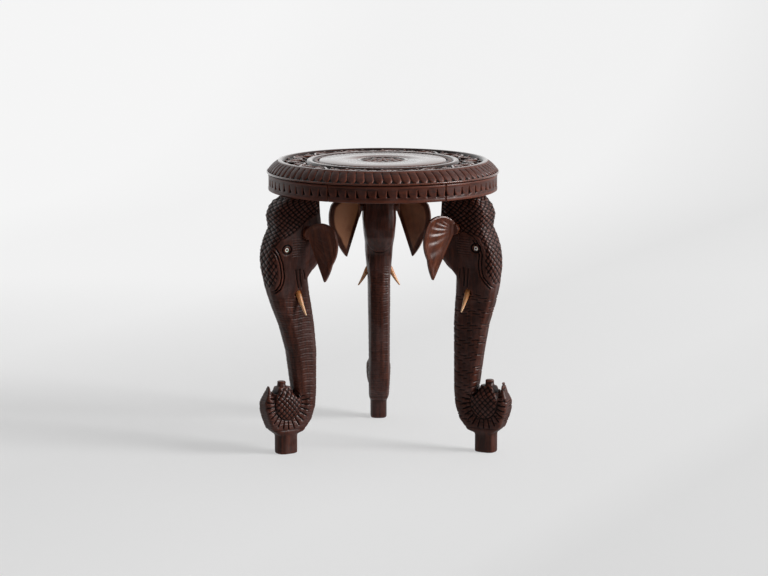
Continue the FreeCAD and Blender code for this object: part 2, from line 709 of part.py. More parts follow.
def build_top(doc):
    """Turn the table top: bevel and lip outside, and a sunk border with two rings of leaves in its face."""
    body = new_body(doc, "table_top")
    rim = "Sizes.top_diameter / 2"
    sketch = new_sketch(body, "TopOutline", "XZ_Plane")
    draw_outline(sketch, [
        ("0", APRON_TOP),
        (rim, APRON_TOP),
        (rim, "(Sizes.stool_height - Sizes.bevel_drop)"),
        (f"{rim} - Sizes.bevel_width", "Sizes.stool_height"),
        ("0", "Sizes.stool_height"),
    ])
    feature(body, "Revolution", "Board", Profile=sketch, ReferenceAxis=(sketch, ["V_Axis"]), Angle=360)
    ring = new_sketch(body, "BorderSketch", "XZ_Plane")
    edge = f"({rim} - Sizes.bevel_width - Sizes.rim_width)"
    floor, roof = "Sizes.stool_height - Sizes.border_depth", "Sizes.stool_height + Sizes.cut_overrun"
    draw_rectangle(ring, (f"{edge} - Sizes.border_width", floor), (edge, roof))
    feature(body, "Groove", "Border", Profile=ring, ReferenceAxis=(ring, ["V_Axis"]), Angle=360)
    middle = f"({edge} - Sizes.border_width / 2)"
    add_border_leaves(body, "Outer", middle, "1", "0")
    add_border_leaves(body, "Inner", middle, "-1", "180 / Sizes.vine_bends")
    return body


def add_border_leaves(body, name, middle, way, azimuth):
    """Raise a ring of leaf groups from the border's floor, which point out (a way of 1) or in (-1)."""
    floor = "Sizes.stool_height - Sizes.border_depth"
    turn = Rotation(Vector(0, 0, 1), value(azimuth))
    sketch = new_sketch(body, f"{name}LeafSketch", "XY_Plane", ("0", "0", floor), turn)
    share = f"{way} * Sizes.border_width"
    corners = [(f"{middle} + {share} * {out}", f"{share} * {along}" if along else "0") for out, along in LEAF_SHARES]
    draw_outline(sketch, corners)
    leaf = feature(body, "Pad", f"{name}Leaf", Profile=sketch, Length="Sizes.leaf_height")
    # A pattern doesn't become the body's last step by itself.
    body.Tip = feature(
        body, "PolarPattern", f"{name}Leaves", Originals=[leaf], Axis=(origin_part(body, "Z_Axis"), [""]), Angle=360,
        Occurrences="Sizes.vine_bends",
    )


def main():
    """Build the stool and write each piece to its own file."""
    doc = FreeCAD.newDocument("ElephantStool")
    make_sheet(doc)
    pieces = [build_top(doc)]
    pieces += [build_segment(doc, number) for number in range(int(value("Sizes.segment_count")))]
    for leg in LEGS:
        pieces.append(build_leg(doc, leg))
        for build in (build_ear, build_tusk, build_eye_ring, build_eye_pupil):
            piece = build(doc, leg)
            pieces += [piece, mirror_piece(doc, piece, leg)]
    doc.recompute()
    check(doc)
    os.makedirs("parts", exist_ok=True)
    for piece in pieces:
        if piece.Shape.isNull() or not piece.Shape.isValid():
            raise RuntimeError(f"{piece.Label} has no sound shape")
        piece.Shape.exportStep(f"parts/{piece.Label}.step")


def check(doc):
    """Stop if any object of the document has failed."""
    for item in doc.Objects:
        if any(word in item.State for word in ("Invalid", "Error")):
            raise RuntimeError(f"{item.Label}: {item.State}")


main()
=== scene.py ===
"""Looks of a carved elephant stool: a turned top, an apron ring of six pieces and three elephant legs.

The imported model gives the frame. Each piece made here stands for a node of it, at the node's own place. Sizes
are in millimetres in the classes and in metres in the meshes.
"""

import logging
import math
from abc import ABC, abstractmethod
from collections.abc import Iterable
from dataclasses import dataclass
from enum import Enum
from functools import partial

import bmesh
import bpy
import numpy as np
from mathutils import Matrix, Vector

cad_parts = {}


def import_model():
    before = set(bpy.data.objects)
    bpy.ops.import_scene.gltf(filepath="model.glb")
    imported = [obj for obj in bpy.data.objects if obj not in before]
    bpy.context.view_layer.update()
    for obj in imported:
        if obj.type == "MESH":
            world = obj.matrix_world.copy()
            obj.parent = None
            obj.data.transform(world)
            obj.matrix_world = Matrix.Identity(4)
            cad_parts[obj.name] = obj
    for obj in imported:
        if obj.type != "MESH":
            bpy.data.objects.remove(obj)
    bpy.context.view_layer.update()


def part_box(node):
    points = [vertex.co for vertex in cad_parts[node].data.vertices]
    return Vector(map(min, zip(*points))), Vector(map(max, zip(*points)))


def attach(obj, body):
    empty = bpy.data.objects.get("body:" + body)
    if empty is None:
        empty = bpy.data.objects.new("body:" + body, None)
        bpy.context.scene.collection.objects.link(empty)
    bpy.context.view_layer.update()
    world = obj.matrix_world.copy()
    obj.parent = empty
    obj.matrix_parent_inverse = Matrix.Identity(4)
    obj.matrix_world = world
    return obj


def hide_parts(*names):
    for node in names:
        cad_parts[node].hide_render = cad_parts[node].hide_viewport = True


MM = 0.001
TURN = 2 * math.pi
UP = np.array([0, 0, 1.0])
STOOL_HEIGHT = 406.0
APRON_TOP = 387.0
LEG_HEIGHT = 363.4
LEG_INNER = 99.0
LEG_DEPTH = 102.5
LEAN_SHARES = ((0.0, -0.26), (0.2, -0.12), (0.4, -0.12), (0.78, 1.0), (0.985, 1.0), (1.0, 0.45))
Colour = tuple[float, float, float, float]
Line = list[tuple[float, float]]
Socket = bpy.types.NodeSocket
log = logging.getLogger("stool")


class Slot(Enum):
    """The record's material slots."""

    ROSEWOOD = "rosewood"
    EAR_WOOD = "ear_wood"
    BONE = "bone"
    HORN = "black_horn"


def linear(hex_colour: str) -> Colour:
    """Turns an sRGB hex colour into a linear one.

    Args:
        hex_colour: Six hex digits after a number sign.

    Returns:
        Linear red, green, blue and an alpha of one.
    """
    parts = [int(hex_colour[i : i + 2], 16) / 255 for i in (1, 3, 5)]
    red, green, blue = (c / 12.92 if c <= 0.04045 else ((c + 0.055) / 1.055) ** 2.4 for c in parts)
    return red, green, blue, 1.0


def grey(value: float) -> Colour:
    """A linear grey."""
    return value, value, value, 1.0


def add_node(
    tree: bpy.types.NodeTree,
    kind: str,
    inputs: dict | None = None,
    output: int | str = 0,
    stops: Iterable[tuple[float, Colour]] = (),
    **settings: object,
) -> Socket | None:
    """Adds one node with its settings, plain values and links.

    Args:
        tree: The tree that it goes into.
        kind: The node's type name.
        inputs: A plain value or another node's output, by the input's name or number.
        output: The output that is wanted, by name or number.
        stops: The stops of a colour ramp, each a place from 0 to 1 and a linear colour.
        **settings: The node's own properties.

    Returns:
        That output, or None from a node that has none.
    """
    node = tree.nodes.new(kind)
    for name, value in settings.items():
        setattr(node, name, value)
    for name, value in (inputs or {}).items():
        if isinstance(value, Socket):
            tree.links.new(value, node.inputs[name])
        else:
            node.inputs[name].default_value = value
    stops = list(stops)
    for _ in stops[2:]:
        node.color_ramp.elements.new(0.5)
    for index, (place, colour) in enumerate(stops):
        node.color_ramp.elements[index].position = place
        node.color_ramp.elements[index].color = colour
    return node.outputs[output] if node.outputs else None


def empty_tree(owner: bpy.types.Material | bpy.types.World) -> bpy.types.NodeTree:
    """Gives a material or a world an empty tree.

    Args:
        owner: The material or world.

    Returns:
        Its tree.
    """
    owner.use_nodes = True
    owner.node_tree.nodes.clear()
    return owner.node_tree


@dataclass(frozen=True)
class Finish(ABC):
    """A real material and the process that finished it, for one of the record's slots."""

    name: str
    slot: Slot

    def material(self) -> bpy.types.Material:
        """Gives the finish's material, which is made at its first use.

        Returns:
            The material.
        """
        made = bpy.data.materials.get(self.name)
        if made is None:
            made = bpy.data.materials.new(self.name)
            tree = empty_tree(made)
            add_node(tree, "ShaderNodeOutputMaterial", {"Surface": self.shade(tree)})
        return made

    @abstractmethod
    def shade(self, tree: bpy.types.NodeTree) -> Socket:
        """Fills the material's tree.

        Args:
            tree: The empty tree.

        Returns:
            The surface.
        """


@dataclass(frozen=True)
class WaxedWood(Finish):
    """Rosewood, sawn and carved by hand, then oiled and waxed.

    Close dark streaks run along the grain, with short open pores, drawn about twice as wide as real ones so
    that they show. The cuts and hollows are painted nearly black and dull: partly old wax and grime, and partly
    painted shade. The high spots are paler from wear, some arrises carry painted highlights, and here and there
    a greyish haze is painted in, partly old wax and partly painted sheen. Streak and pore are widths in
    millimetres.
    """

    heart: str
    dark: str
    light: str
    dirt_and_shade: str = "#0b0707"
    rubbed_and_lit: str = "#6e3520"
    bloom_and_sheen: str = "#5a4442"
    bloom_and_sheen_share: float = 0.5
    roughness: float = 0.42
    uneven: float = 0.08
    wax: float = 0.14
    wax_roughness: float = 0.27
    sheen: float = 0.4
    dull_share: float = 0.15
    ior: float = 1.45
    streak: float = 4.5
    pore: float = 0.55
    relief: float = 0.2
    tool_marks: float = 0.3

    def shade(self, tree: bpy.types.NodeTree) -> Socket:
        """Fills the material's tree. It reads the piece's own attributes: grain, cut and worn.

        Args:
            tree: The empty tree.

        Returns:
            The surface.
        """
        add = partial(add_node, tree)
        grain = add("ShaderNodeAttribute", output="Vector", attribute_name="grain")
        cut = add("ShaderNodeAttribute", output="Fac", attribute_name="cut")
        worn_and_lit = add("ShaderNodeAttribute", output="Fac", attribute_name="worn_and_lit")
        drawn = add("ShaderNodeVectorMath", {0: grain, 1: (0.09, 1.0, 1.0)}, operation="MULTIPLY")
        streak, pore = 1 / (self.streak * MM), 1 / (self.pore * MM)
        # Streaks, pores, patches of 18 mm, clouds of 36 mm for a greyish haze that is partly old wax and partly
        # painted sheen, and gouge facets of 5 mm
        noises = (
            {"Vector": drawn, "Scale": streak, "Detail": 5.0, "Roughness": 0.6, "Distortion": 0.8},
            {"Vector": drawn, "Scale": pore, "Detail": 1.0},
            {"Vector": grain, "Scale": 55.0, "Detail": 3.0},
            {"Vector": grain, "Scale": 28.0, "Detail": 5.0, "Roughness": 0.62, "Distortion": 0.6},
            {"Vector": grain, "Scale": 190.0, "Detail": 1.5},
        )
        figure, vessels, patch, cloud, facets = (add("ShaderNodeTexNoise", noise) for noise in noises)
        tones = map(linear, (self.dark, self.heart, self.light))
        ramps = (
            (figure, zip((0.3, 0.52, 0.75), tones)),
            (vessels, [(0.6, grey(0)), (0.74, grey(0.6))]),
            (cloud, [(0.47, grey(0)), (0.72, grey(self.bloom_and_sheen_share))]),
            (cut, [(0.05, grey(0)), (0.85, grey(0.93))]),
        )
        streaks, pores, haze, deep = (
            add("ShaderNodeValToRGB", {0: value}, stops=stops) for value, stops in ramps
        )
        rub_and_highlight = add("ShaderNodeMath", {0: worn_and_lit, 1: patch}, operation="MULTIPLY", use_clamp=True)
        colour = streaks
        # Over the streaks: dark pores, a greyish haze that is partly old wax and partly painted sheen, paler
        # spots from wear and painted highlights, and painted shade with grime in the cuts
        layers = ((pores, self.dirt_and_shade), (haze, self.bloom_and_sheen), (rub_and_highlight, self.rubbed_and_lit), (deep, self.dirt_and_shade))
        for factor, other in layers:
            mix = {0: factor, 6: colour, 7: linear(other)}
            colour = add("ShaderNodeMix", mix, 2, data_type="RGBA")
        height = add("ShaderNodeMath", {0: pores, 1: -0.5, 2: streaks}, operation="MULTIPLY_ADD")
        fine = {"Height": height, "Strength": self.relief, "Distance": 0.25 * MM}
        tooled = {"Height": facets, "Strength": self.tool_marks, "Distance": 0.8 * MM}
        ranges = (
            (patch, 0.3, 0.7, self.roughness - self.uneven, self.roughness + self.uneven),
            (cut, 0.0, 1.0, self.sheen, self.dull_share * self.sheen),
            (cut, 0.0, 1.0, self.wax, self.dull_share * self.wax),
        )
        roughness, sheen, wax = (add("ShaderNodeMapRange", dict(enumerate(ends))) for ends in ranges)
        surface = {
            "Base Color": colour,
            "Roughness": roughness,
            "Normal": add("ShaderNodeBump", tooled | {"Normal": add("ShaderNodeBump", fine)}),
            "IOR": self.ior,
            "Specular IOR Level": sheen,
            "Coat Weight": wax,
            "Coat Roughness": self.wax_roughness,
            "Coat IOR": self.ior,
        }
        return add("ShaderNodeBsdfPrincipled", surface)


@dataclass(frozen=True)
class PolishedBone(Finish):
    """Bone, sawn, filed and polished: pale at the tip, tan where old wax has soaked in near the root."""

    root: str = "#b4733f"
    middle: str = "#d8a174"
    tip: str = "#eac39c"
    roughness: float = 0.33
    reach: float = 0.046

    def shade(self, tree: bpy.types.NodeTree) -> Socket:
        """Fills the material's tree. The piece's grain runs along it from 0 at the root, in metres.

        Args:
            tree: The empty tree.

        Returns:
            The surface.
        """
        add = partial(add_node, tree)
        grain = add("ShaderNodeAttribute", output="Vector", attribute_name="grain")
        drawn = add("ShaderNodeVectorMath", {0: grain, 1: (0.06, 1.0, 1.0)}, operation="MULTIPLY")
        # Fibres about 0.9 mm wide
        fibres = add("ShaderNodeTexNoise", {"Vector": drawn, "Scale": 1100.0, "Detail": 3.0})
        along = add("ShaderNodeSeparateXYZ", {0: grain}, "X")
        soaked = add("ShaderNodeMath", {0: fibres, 1: 0.012, 2: along}, operation="MULTIPLY_ADD")
        share = add("ShaderNodeMapRange", {"Value": soaked, "From Max": self.reach})
        tones = zip((0.1, 0.45, 0.9), map(linear, (self.root, self.middle, self.tip)))
        relief = {"Height": fibres, "Strength": 0.15, "Distance": 0.1 * MM}
        surface = {
            "Base Color": add("ShaderNodeValToRGB", {0: share}, stops=tones),
            "Roughness": self.roughness,
            "Normal": add("ShaderNodeBump", relief),
            "IOR": 1.54,
            "Subsurface Weight": 0.12,
            "Subsurface Scale": 0.6 * MM,
        }
        return add("ShaderNodeBsdfPrincipled", surface)


@dataclass(frozen=True)
class BlackHorn(Finish):
    """Black horn, turned and polished: a deep black dot with a small bright glint."""

    black: str = "#0d0b0b"
    brown: str = "#241813"

    def shade(self, tree: bpy.types.NodeTree) -> Socket:
        """Fills the material's tree with clouds about 1 mm across.

        Args:
            tree: The empty tree.

        Returns:
            The surface.
        """
        add = partial(add_node, tree)
        place = add("ShaderNodeTexCoord", output="Object")
        cloud = add("ShaderNodeTexNoise", {"Vector": place, "Scale": 900.0, "Detail": 2.0})
        stops = [(0.4, linear(self.black)), (0.8, linear(self.brown))]
        colour = add("ShaderNodeValToRGB", {0: cloud}, stops=stops)
        return add("ShaderNodeBsdfPrincipled", {"Base Color": colour, "Roughness": 0.2, "IOR": 1.56})


# Even, close and shiny enough to mirror the room softly
TOP_FINISH = WaxedWood(
    "rosewood, turned and polished",
    Slot.ROSEWOOD,
    "#45200f",
    "#2f140a",
    "#5a2c18",
    roughness=0.28,
    uneven=0.01,
    wax=1.0,
    wax_roughness=0.08,
    sheen=0.5,
    bloom_and_sheen_share=0.1,
    relief=0.01,
    tool_marks=0.02,
)
# Redder, with saw and gouge marks that the wax has half filled
RING_FINISH = WaxedWood(
    "rosewood, sawn and carved",
    Slot.ROSEWOOD,
    "#411a0c",
    "#280f08",
    "#5a2712",
    roughness=0.45,
    tool_marks=0.15,
)
# Dark and satin, with small facets from the gouge
CARVED_FINISH = WaxedWood("rosewood, carved and waxed", Slot.ROSEWOOD, "#3c1a10", "#241009", "#562918")
# Paler and redder wood with broad streaks, shiny on the folds
EAR_FINISH = WaxedWood(
    "rosewood sapwood, carved and waxed",
    Slot.EAR_WOOD,
    "#5a2a16",
    "#3c1b0e",
    "#754026",
    rubbed_and_lit="#a06a48",
    bloom_and_sheen_share=0.2,
    wax=0.35,
    wax_roughness=0.2,
    streak=5.5,
    tool_marks=0.2,
)
TUSK_FINISH = PolishedBone("bone, filed and polished", Slot.BONE)
# Nearly white, because it never soaked up wax
EYE_FINISH = PolishedBone("bone, turned", Slot.BONE, root="#f0ebe0", middle="#f4f0e8", tip="#f6f3ec")
HORN_FINISH = BlackHorn("black horn, polished", Slot.HORN)


def new_object(name: str, data: bpy.types.ID) -> bpy.types.Object:
    """Adds an object to the scene.

    Args:
        name: Its name.
        data: Its mesh, lamp or camera.

    Returns:
        The object.
    """
    made = bpy.data.objects.new(name, data)
    bpy.context.scene.collection.objects.link(made)
    return made


def applied(host: bpy.types.Object) -> bpy.types.Mesh:
    """Makes a mesh of an object and its modifiers.

    Args:
        host: The object, which is removed.

    Returns:
        The mesh.
    """
    graph = bpy.context.evaluated_depsgraph_get()
    mesh = bpy.data.meshes.new_from_object(host.evaluated_get(graph))
    host.modifiers.clear()
    bpy.data.objects.remove(host)
    return mesh


def make_smooth(mesh: bpy.types.Mesh) -> None:
    """Shades a mesh smooth."""
    mesh.polygons.foreach_set("use_smooth", [True] * len(mesh.polygons))


def loft(name: str, rings: np.ndarray, closed: bool = False) -> bpy.types.Mesh:
    """Joins rings of points into one closed, smooth body that faces outward.

    Args:
        name: The mesh's name.
        rings: Points in millimetres: ring, point in the ring, x y z.
        closed: Whether the last ring joins the first. If not, both ends are capped.

    Returns:
        The mesh, in metres.
    """
    count, sides = rings.shape[:2]
    points = rings.reshape(-1, 3) * MM
    faces = []
    for i in range(count if closed else count - 1):
        here, there = i * sides, ((i + 1) % count) * sides
        for j in range(sides):
            k = (j + 1) % sides
            faces.append([here + j, here + k, there + k, there + j])
    for start in () if closed else (0, (count - 1) * sides):
        last = len(points)
        points = np.vstack([points, points[start : start + sides].mean(0)])
        faces += [[start + j, start + (j + 1) % sides, last] for j in range(sides)]
    mesh = bpy.data.meshes.new(name)
    mesh.from_pydata(points.tolist(), [], faces)
    made = bmesh.new()
    made.from_mesh(mesh)
    bmesh.ops.remove_doubles(made, verts=made.verts, dist=1e-7)
    bmesh.ops.recalc_face_normals(made, faces=made.faces)
    made.to_mesh(mesh)
    made.free()
    make_smooth(mesh)
    return mesh


def round_axis(
    radius: np.ndarray | float, turn: np.ndarray | float, height: np.ndarray | float
) -> np.ndarray:
    """Sets points round the stool's axis.

    Args:
        radius: How far each point is from the axis.
        turn: Its direction, in radians.
        height: Its height.

    Returns:
        The points, with x y z last.
    """
    radius, turn, height = np.broadcast_arrays(radius, turn, height)
    return np.stack([radius * np.cos(turn), radius * np.sin(turn), height], axis=-1)


def lathe(name: str, profile: Line, steps: int, least: float = 0.02) -> bpy.types.Mesh:
    """Turns a profile that starts and ends on the axis.

    Args:
        name: The mesh's name.
        profile: Radius and height in millimetres.
        steps: Points round the axis.
        least: The radius that stands for zero.

    Returns:
        The mesh, in metres.
    """
    angles = np.linspace(0, TURN, steps, endpoint=False)
    return loft(name, np.array([round_axis(max(r, least), angles, z) for r, z in profile]))


def joined(name: str, meshes: list[bpy.types.Mesh]) -> bpy.types.Mesh:
    """Joins meshes into one and removes them.

    Args:
        name: The new mesh's name.
        meshes: The meshes to join.

    Returns:
        The new mesh.
    """
    made = bmesh.new()
    for mesh in meshes:
        made.from_mesh(mesh)
    whole = bpy.data.meshes.new(name)
    made.to_mesh(whole)
    made.free()
    for mesh in meshes:
        bpy.data.meshes.remove(mesh)
    return whole


def read(mesh: bpy.types.Mesh, key: str = "co") -> np.ndarray:
    """Reads the places of a mesh's points in metres, or their normals.

    Args:
        mesh: The mesh.
        key: Either co or normal.

    Returns:
        One row for each point.
    """
    flat = np.empty(len(mesh.vertices) * 3)
    mesh.vertices.foreach_get(key, flat)
    return flat.reshape(-1, 3)


def move(mesh: bpy.types.Mesh, points: np.ndarray) -> None:
    """Moves the mesh's points to new places in metres."""
    mesh.vertices.foreach_set("co", points.ravel())
    mesh.update()


def store(mesh: bpy.types.Mesh, name: str, values: np.ndarray) -> None:
    """Stores a number or a vector for each point of a mesh.

    Args:
        mesh: The mesh.
        name: The attribute's name.
        values: One number or one row of three for each point.
    """
    kind, key = ("FLOAT", "value") if values.ndim == 1 else ("FLOAT_VECTOR", "vector")
    attribute = mesh.attributes.get(name) or mesh.attributes.new(name, kind, "POINT")
    attribute.data.foreach_set(key, values.astype(np.float32).ravel())


def spread(mesh: bpy.types.Mesh, values: np.ndarray, times: int) -> np.ndarray:
    """Averages values with those of the points next to them.

    Args:
        mesh: The mesh that the values belong to.
        values: One row for each point.
        times: How often.

    Returns:
        The smoother values.
    """
    pairs = np.empty(len(mesh.edges) * 2, np.int64)
    mesh.edges.foreach_get("vertices", pairs)
    a, b = pairs.reshape(-1, 2).T
    count = np.bincount(pairs, minlength=len(values)).clip(1)
    for _ in range(times):
        columns = [
            np.bincount(a, column[b], len(values)) + np.bincount(b, column[a], len(values))
            for column in values.reshape(len(values), -1).T
        ]
        values = (np.column_stack(columns) / count[:, None]).reshape(values.shape)
    return values


def mark_shade_wear_and_highlights(mesh: bpy.types.Mesh, cut: np.ndarray, rubbed_and_lit: np.ndarray | float = 0.0) -> None:
    """Stores how dark and dull each point is painted in cuts and hollows, partly for grime and partly as
    painted shade, and how pale it is painted where it stands proud, from wear and from painted highlights.

    Args:
        mesh: The finished mesh.
        cut: The depth that was carved at each point, in millimetres.
        rubbed_and_lit: Paler arrises that the mesh is too coarse to show, 0 to 1; on the bevel and the apron
            they are painted highlights.
    """
    points = read(mesh)
    proud = ((points - spread(mesh, points, 1)) * read(mesh, "normal")).sum(1) / MM
    proud = spread(mesh, proud, 2)
    # Darker and duller with carved depth and in hollows: partly grime, partly painted shade
    store(mesh, "cut", np.clip(np.clip(cut / 1.35, 0, 1) ** 2.2 + np.clip(-proud * 3, 0, 0.4), 0, 1))
    # Paler where the point stands proud, from wear, and on arrises given painted highlights
    store(mesh, "worn_and_lit", np.maximum(np.clip(proud * 9, 0, 1), rubbed_and_lit))


def store_grain(mesh: bpy.types.Mesh, along: Iterable[float], across: Iterable[float], shift: float) -> None:
    """Stores grain coordinates for a straight grained piece.

    Args:
        mesh: The mesh.
        along: The grain's direction.
        across: A direction across it.
        shift: Moves the pattern, so that each piece is cut from another place in the board.
    """
    x = Vector(along).normalized()
    y = (Vector(across) - Vector(across).dot(x) * x).normalized()
    axes = np.array([x, y, x.cross(y)])
    store(mesh, "grain", read(mesh) @ axes.T + shift * np.array([0.37, 0.11, 0.23]))


def finished_piece(name: str, mesh: bpy.types.Mesh, node: str, finish: Finish) -> None:
    """Makes a piece that stands for a CAD node and rides on the stool.

    Args:
        name: The piece's name.
        mesh: Its mesh, in place.
        node: The CAD node that it stands for.
        finish: Its finish.
    """
    mesh.name = name
    mesh.materials.clear()
    mesh.materials.append(finish.material())
    piece = new_object(name, mesh)
    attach(piece, "root")
    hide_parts(node)
    log.info("%s: %d faces for %s", name, len(mesh.polygons), node)


def ease(value: np.ndarray | float, low: float, high: float) -> np.ndarray:
    """Goes smoothly from 0 at low to 1 at high."""
    share = np.clip((value - low) / (high - low), 0, 1)
    return share * share * (3 - 2 * share)


def between(value: np.ndarray | float, rise: tuple, fall: tuple) -> np.ndarray:
    """Goes smoothly up to 1 over the range called rise, and back to 0 over the range called fall."""
    return ease(value, *rise) * (1 - ease(value, *fall))


def gouge(distance: np.ndarray, width: float, depth: float) -> np.ndarray:
    """A round bottomed cut.

    Args:
        distance: How far each point is from the cut's middle.
        width: Half the cut's width.
        depth: Its depth in the middle.

    Returns:
        The depth at each point.
    """
    return depth * np.clip(1 - (distance / width) ** 2, 0, 1)


def line_distance(line: Line, r: np.ndarray, z: np.ndarray) -> np.ndarray:
    """How far each point lies from a line of straight runs.

    Args:
        line: The line's corners.
        r: First coordinate of the points.
        z: Second coordinate of the points.

    Returns:
        The distances.
    """
    best = np.full(len(r), np.inf)
    for (r0, z0), (r1, z1) in zip(line, line[1:]):
        dr, dz = r1 - r0, z1 - z0
        s = np.clip(((r - r0) * dr + (z - z0) * dz) / (dr * dr + dz * dz), 0, 1)
        best = np.minimum(best, np.hypot(r - r0 - s * dr, z - z0 - s * dz))
    return best


def scales(u: np.ndarray, v: np.ndarray, depth: float) -> np.ndarray:
    """Domed diamonds between crossing cuts, each tilted a little its own way, as a hand held gouge leaves it.

    Args:
        u: First lattice coordinate, one per diamond.
        v: Second lattice coordinate, one per diamond.
        depth: The depth of the cuts.

    Returns:
        The depth at each point.
    """
    i, j = np.floor(u), np.floor(v)
    across, along = 2 * (u - i) - 1, 2 * (v - j) - 1
    dome = (1 - np.abs(across) ** 3.2) * (1 - np.abs(along) ** 3.2)
    tilt = 0.25 * (np.sin(7.1 * i + 3.3 * j) * across + np.sin(4.7 * i + 9.1 * j) * along)
    return depth * (1 - dome * (0.8 + 0.4 * tilt))


@dataclass(frozen=True)
class RingOfCopies:
    """Copies of one carved shape set round the stool's axis, as a carver steps off a pattern."""

    name: str
    count: int
    first: float = 0.0

    def build(self, shape: bpy.types.Mesh, material: bpy.types.Material) -> bpy.types.Mesh:
        """Sets the copies with Geometry Nodes.

        Args:
            shape: One copy, at azimuth zero.
            material: The material of the copies.

        Returns:
            A plain mesh of all the copies.
        """
        pattern = new_object(self.name + "_shape", shape)
        host = new_object(self.name, bpy.data.meshes.new(self.name))
        modifier = host.modifiers.new("ring", "NODES")
        modifier.node_group = self._tree()
        values = {
            "Shape": pattern,
            "Count": self.count,
            "First": math.radians(self.first),
            "Step": math.radians(360.0 / self.count),
            "Material": material,
        }
        for item in modifier.node_group.interface.items_tree:
            if item.in_out == "INPUT":
                modifier[item.identifier] = values[item.name]
        mesh = applied(host)
        bpy.data.objects.remove(pattern)
        bpy.data.meshes.remove(shape)
        return mesh

    def _tree(self) -> bpy.types.NodeTree:
        """Builds the tree: each point of a row carries one copy, turned by its number.

        Returns:
            The tree.
        """
        tree = bpy.data.node_groups.new(self.name, "GeometryNodeTree")
        sockets = {"Shape": "Object", "Count": "Int", "First": "Float", "Step": "Float"}
        for name, kind in (sockets | {"Material": "Material"}).items():
            tree.interface.new_socket(name, in_out="INPUT", socket_type="NodeSocket" + kind)
        tree.interface.new_socket("Mesh", in_out="OUTPUT", socket_type="NodeSocketGeometry")
        add = partial(add_node, tree)
        given = add("NodeGroupInput").node.outputs
        row = add("GeometryNodeMeshLine", {"Count": given["Count"], "Offset": (0.0, 0.0, 0.0)})
        number = add("GeometryNodeInputIndex")
        terms = {0: number, 1: given["Step"], 2: given["First"]}
        turn = add("ShaderNodeCombineXYZ", {"Z": add("ShaderNodeMath", terms, operation="MULTIPLY_ADD")})
        shape = add("GeometryNodeObjectInfo", {"Object": given["Shape"]}, "Geometry")
        inputs = {"Points": row, "Instance": shape, "Rotation": turn}
        copies = add("GeometryNodeInstanceOnPoints", inputs)
        real = add("GeometryNodeRealizeInstances", {"Geometry": copies})
        dressed = add("GeometryNodeSetMaterial", {"Geometry": real, "Material": given["Material"]})
        add("NodeGroupOutput", {0: dressed})
        return tree


def leaf_rings(length: float, width: float, rise: float, base: float, stations: int = 7) -> np.ndarray:
    """A pointed, domed leaf that lies along x from the origin.

    Args:
        length: Its length.
        width: Its greatest width.
        rise: How far its middle stands up.
        base: How far its flat underside is sunk.
        stations: Rings along it.

    Returns:
        Rings of points in millimetres.
    """
    sides = 8
    angles = np.linspace(0, TURN, sides, endpoint=False)
    up = np.sin(angles)
    rings = []
    for s in np.linspace(0.02, 0.98, stations):
        swell = math.sin(math.pi * s**0.8) ** 0.75
        z = np.where(up > 0, rise * swell * up, -base)
        rings.append(np.column_stack([np.full(sides, s * length), 0.5 * width * swell * np.cos(angles), z]))
    return np.array(rings)


def turned(rings: np.ndarray, degrees: float, shift: tuple) -> np.ndarray:
    """Turns rings about z and moves them.

    Args:
        rings: Rings of points.
        degrees: The turn.
        shift: The move afterwards, in millimetres.

    Returns:
        The moved rings.
    """
    c, s = math.cos(math.radians(degrees)), math.sin(math.radians(degrees))
    turn = np.array([[c, -s, 0], [s, c, 0], [0, 0, 1]])
    return rings @ turn.T + np.array(shift)


# Leaves of a fan, each with its turn, length and width
FAN = ((0, 15, 6.5), (38, 12, 5.5), (-38, 12, 5.5), (76, 9, 5), (-76, 9, 5))
# Rounds of petals, each with its count, inner radius, length, width, rise and first turn
PETALS = ((12, 17.0, 14.0, 7.6, 1.9, 0), (8, 8.5, 12.5, 6.8, 2.1, 22), (6, 2.5, 7.5, 4.6, 2.3, 0))


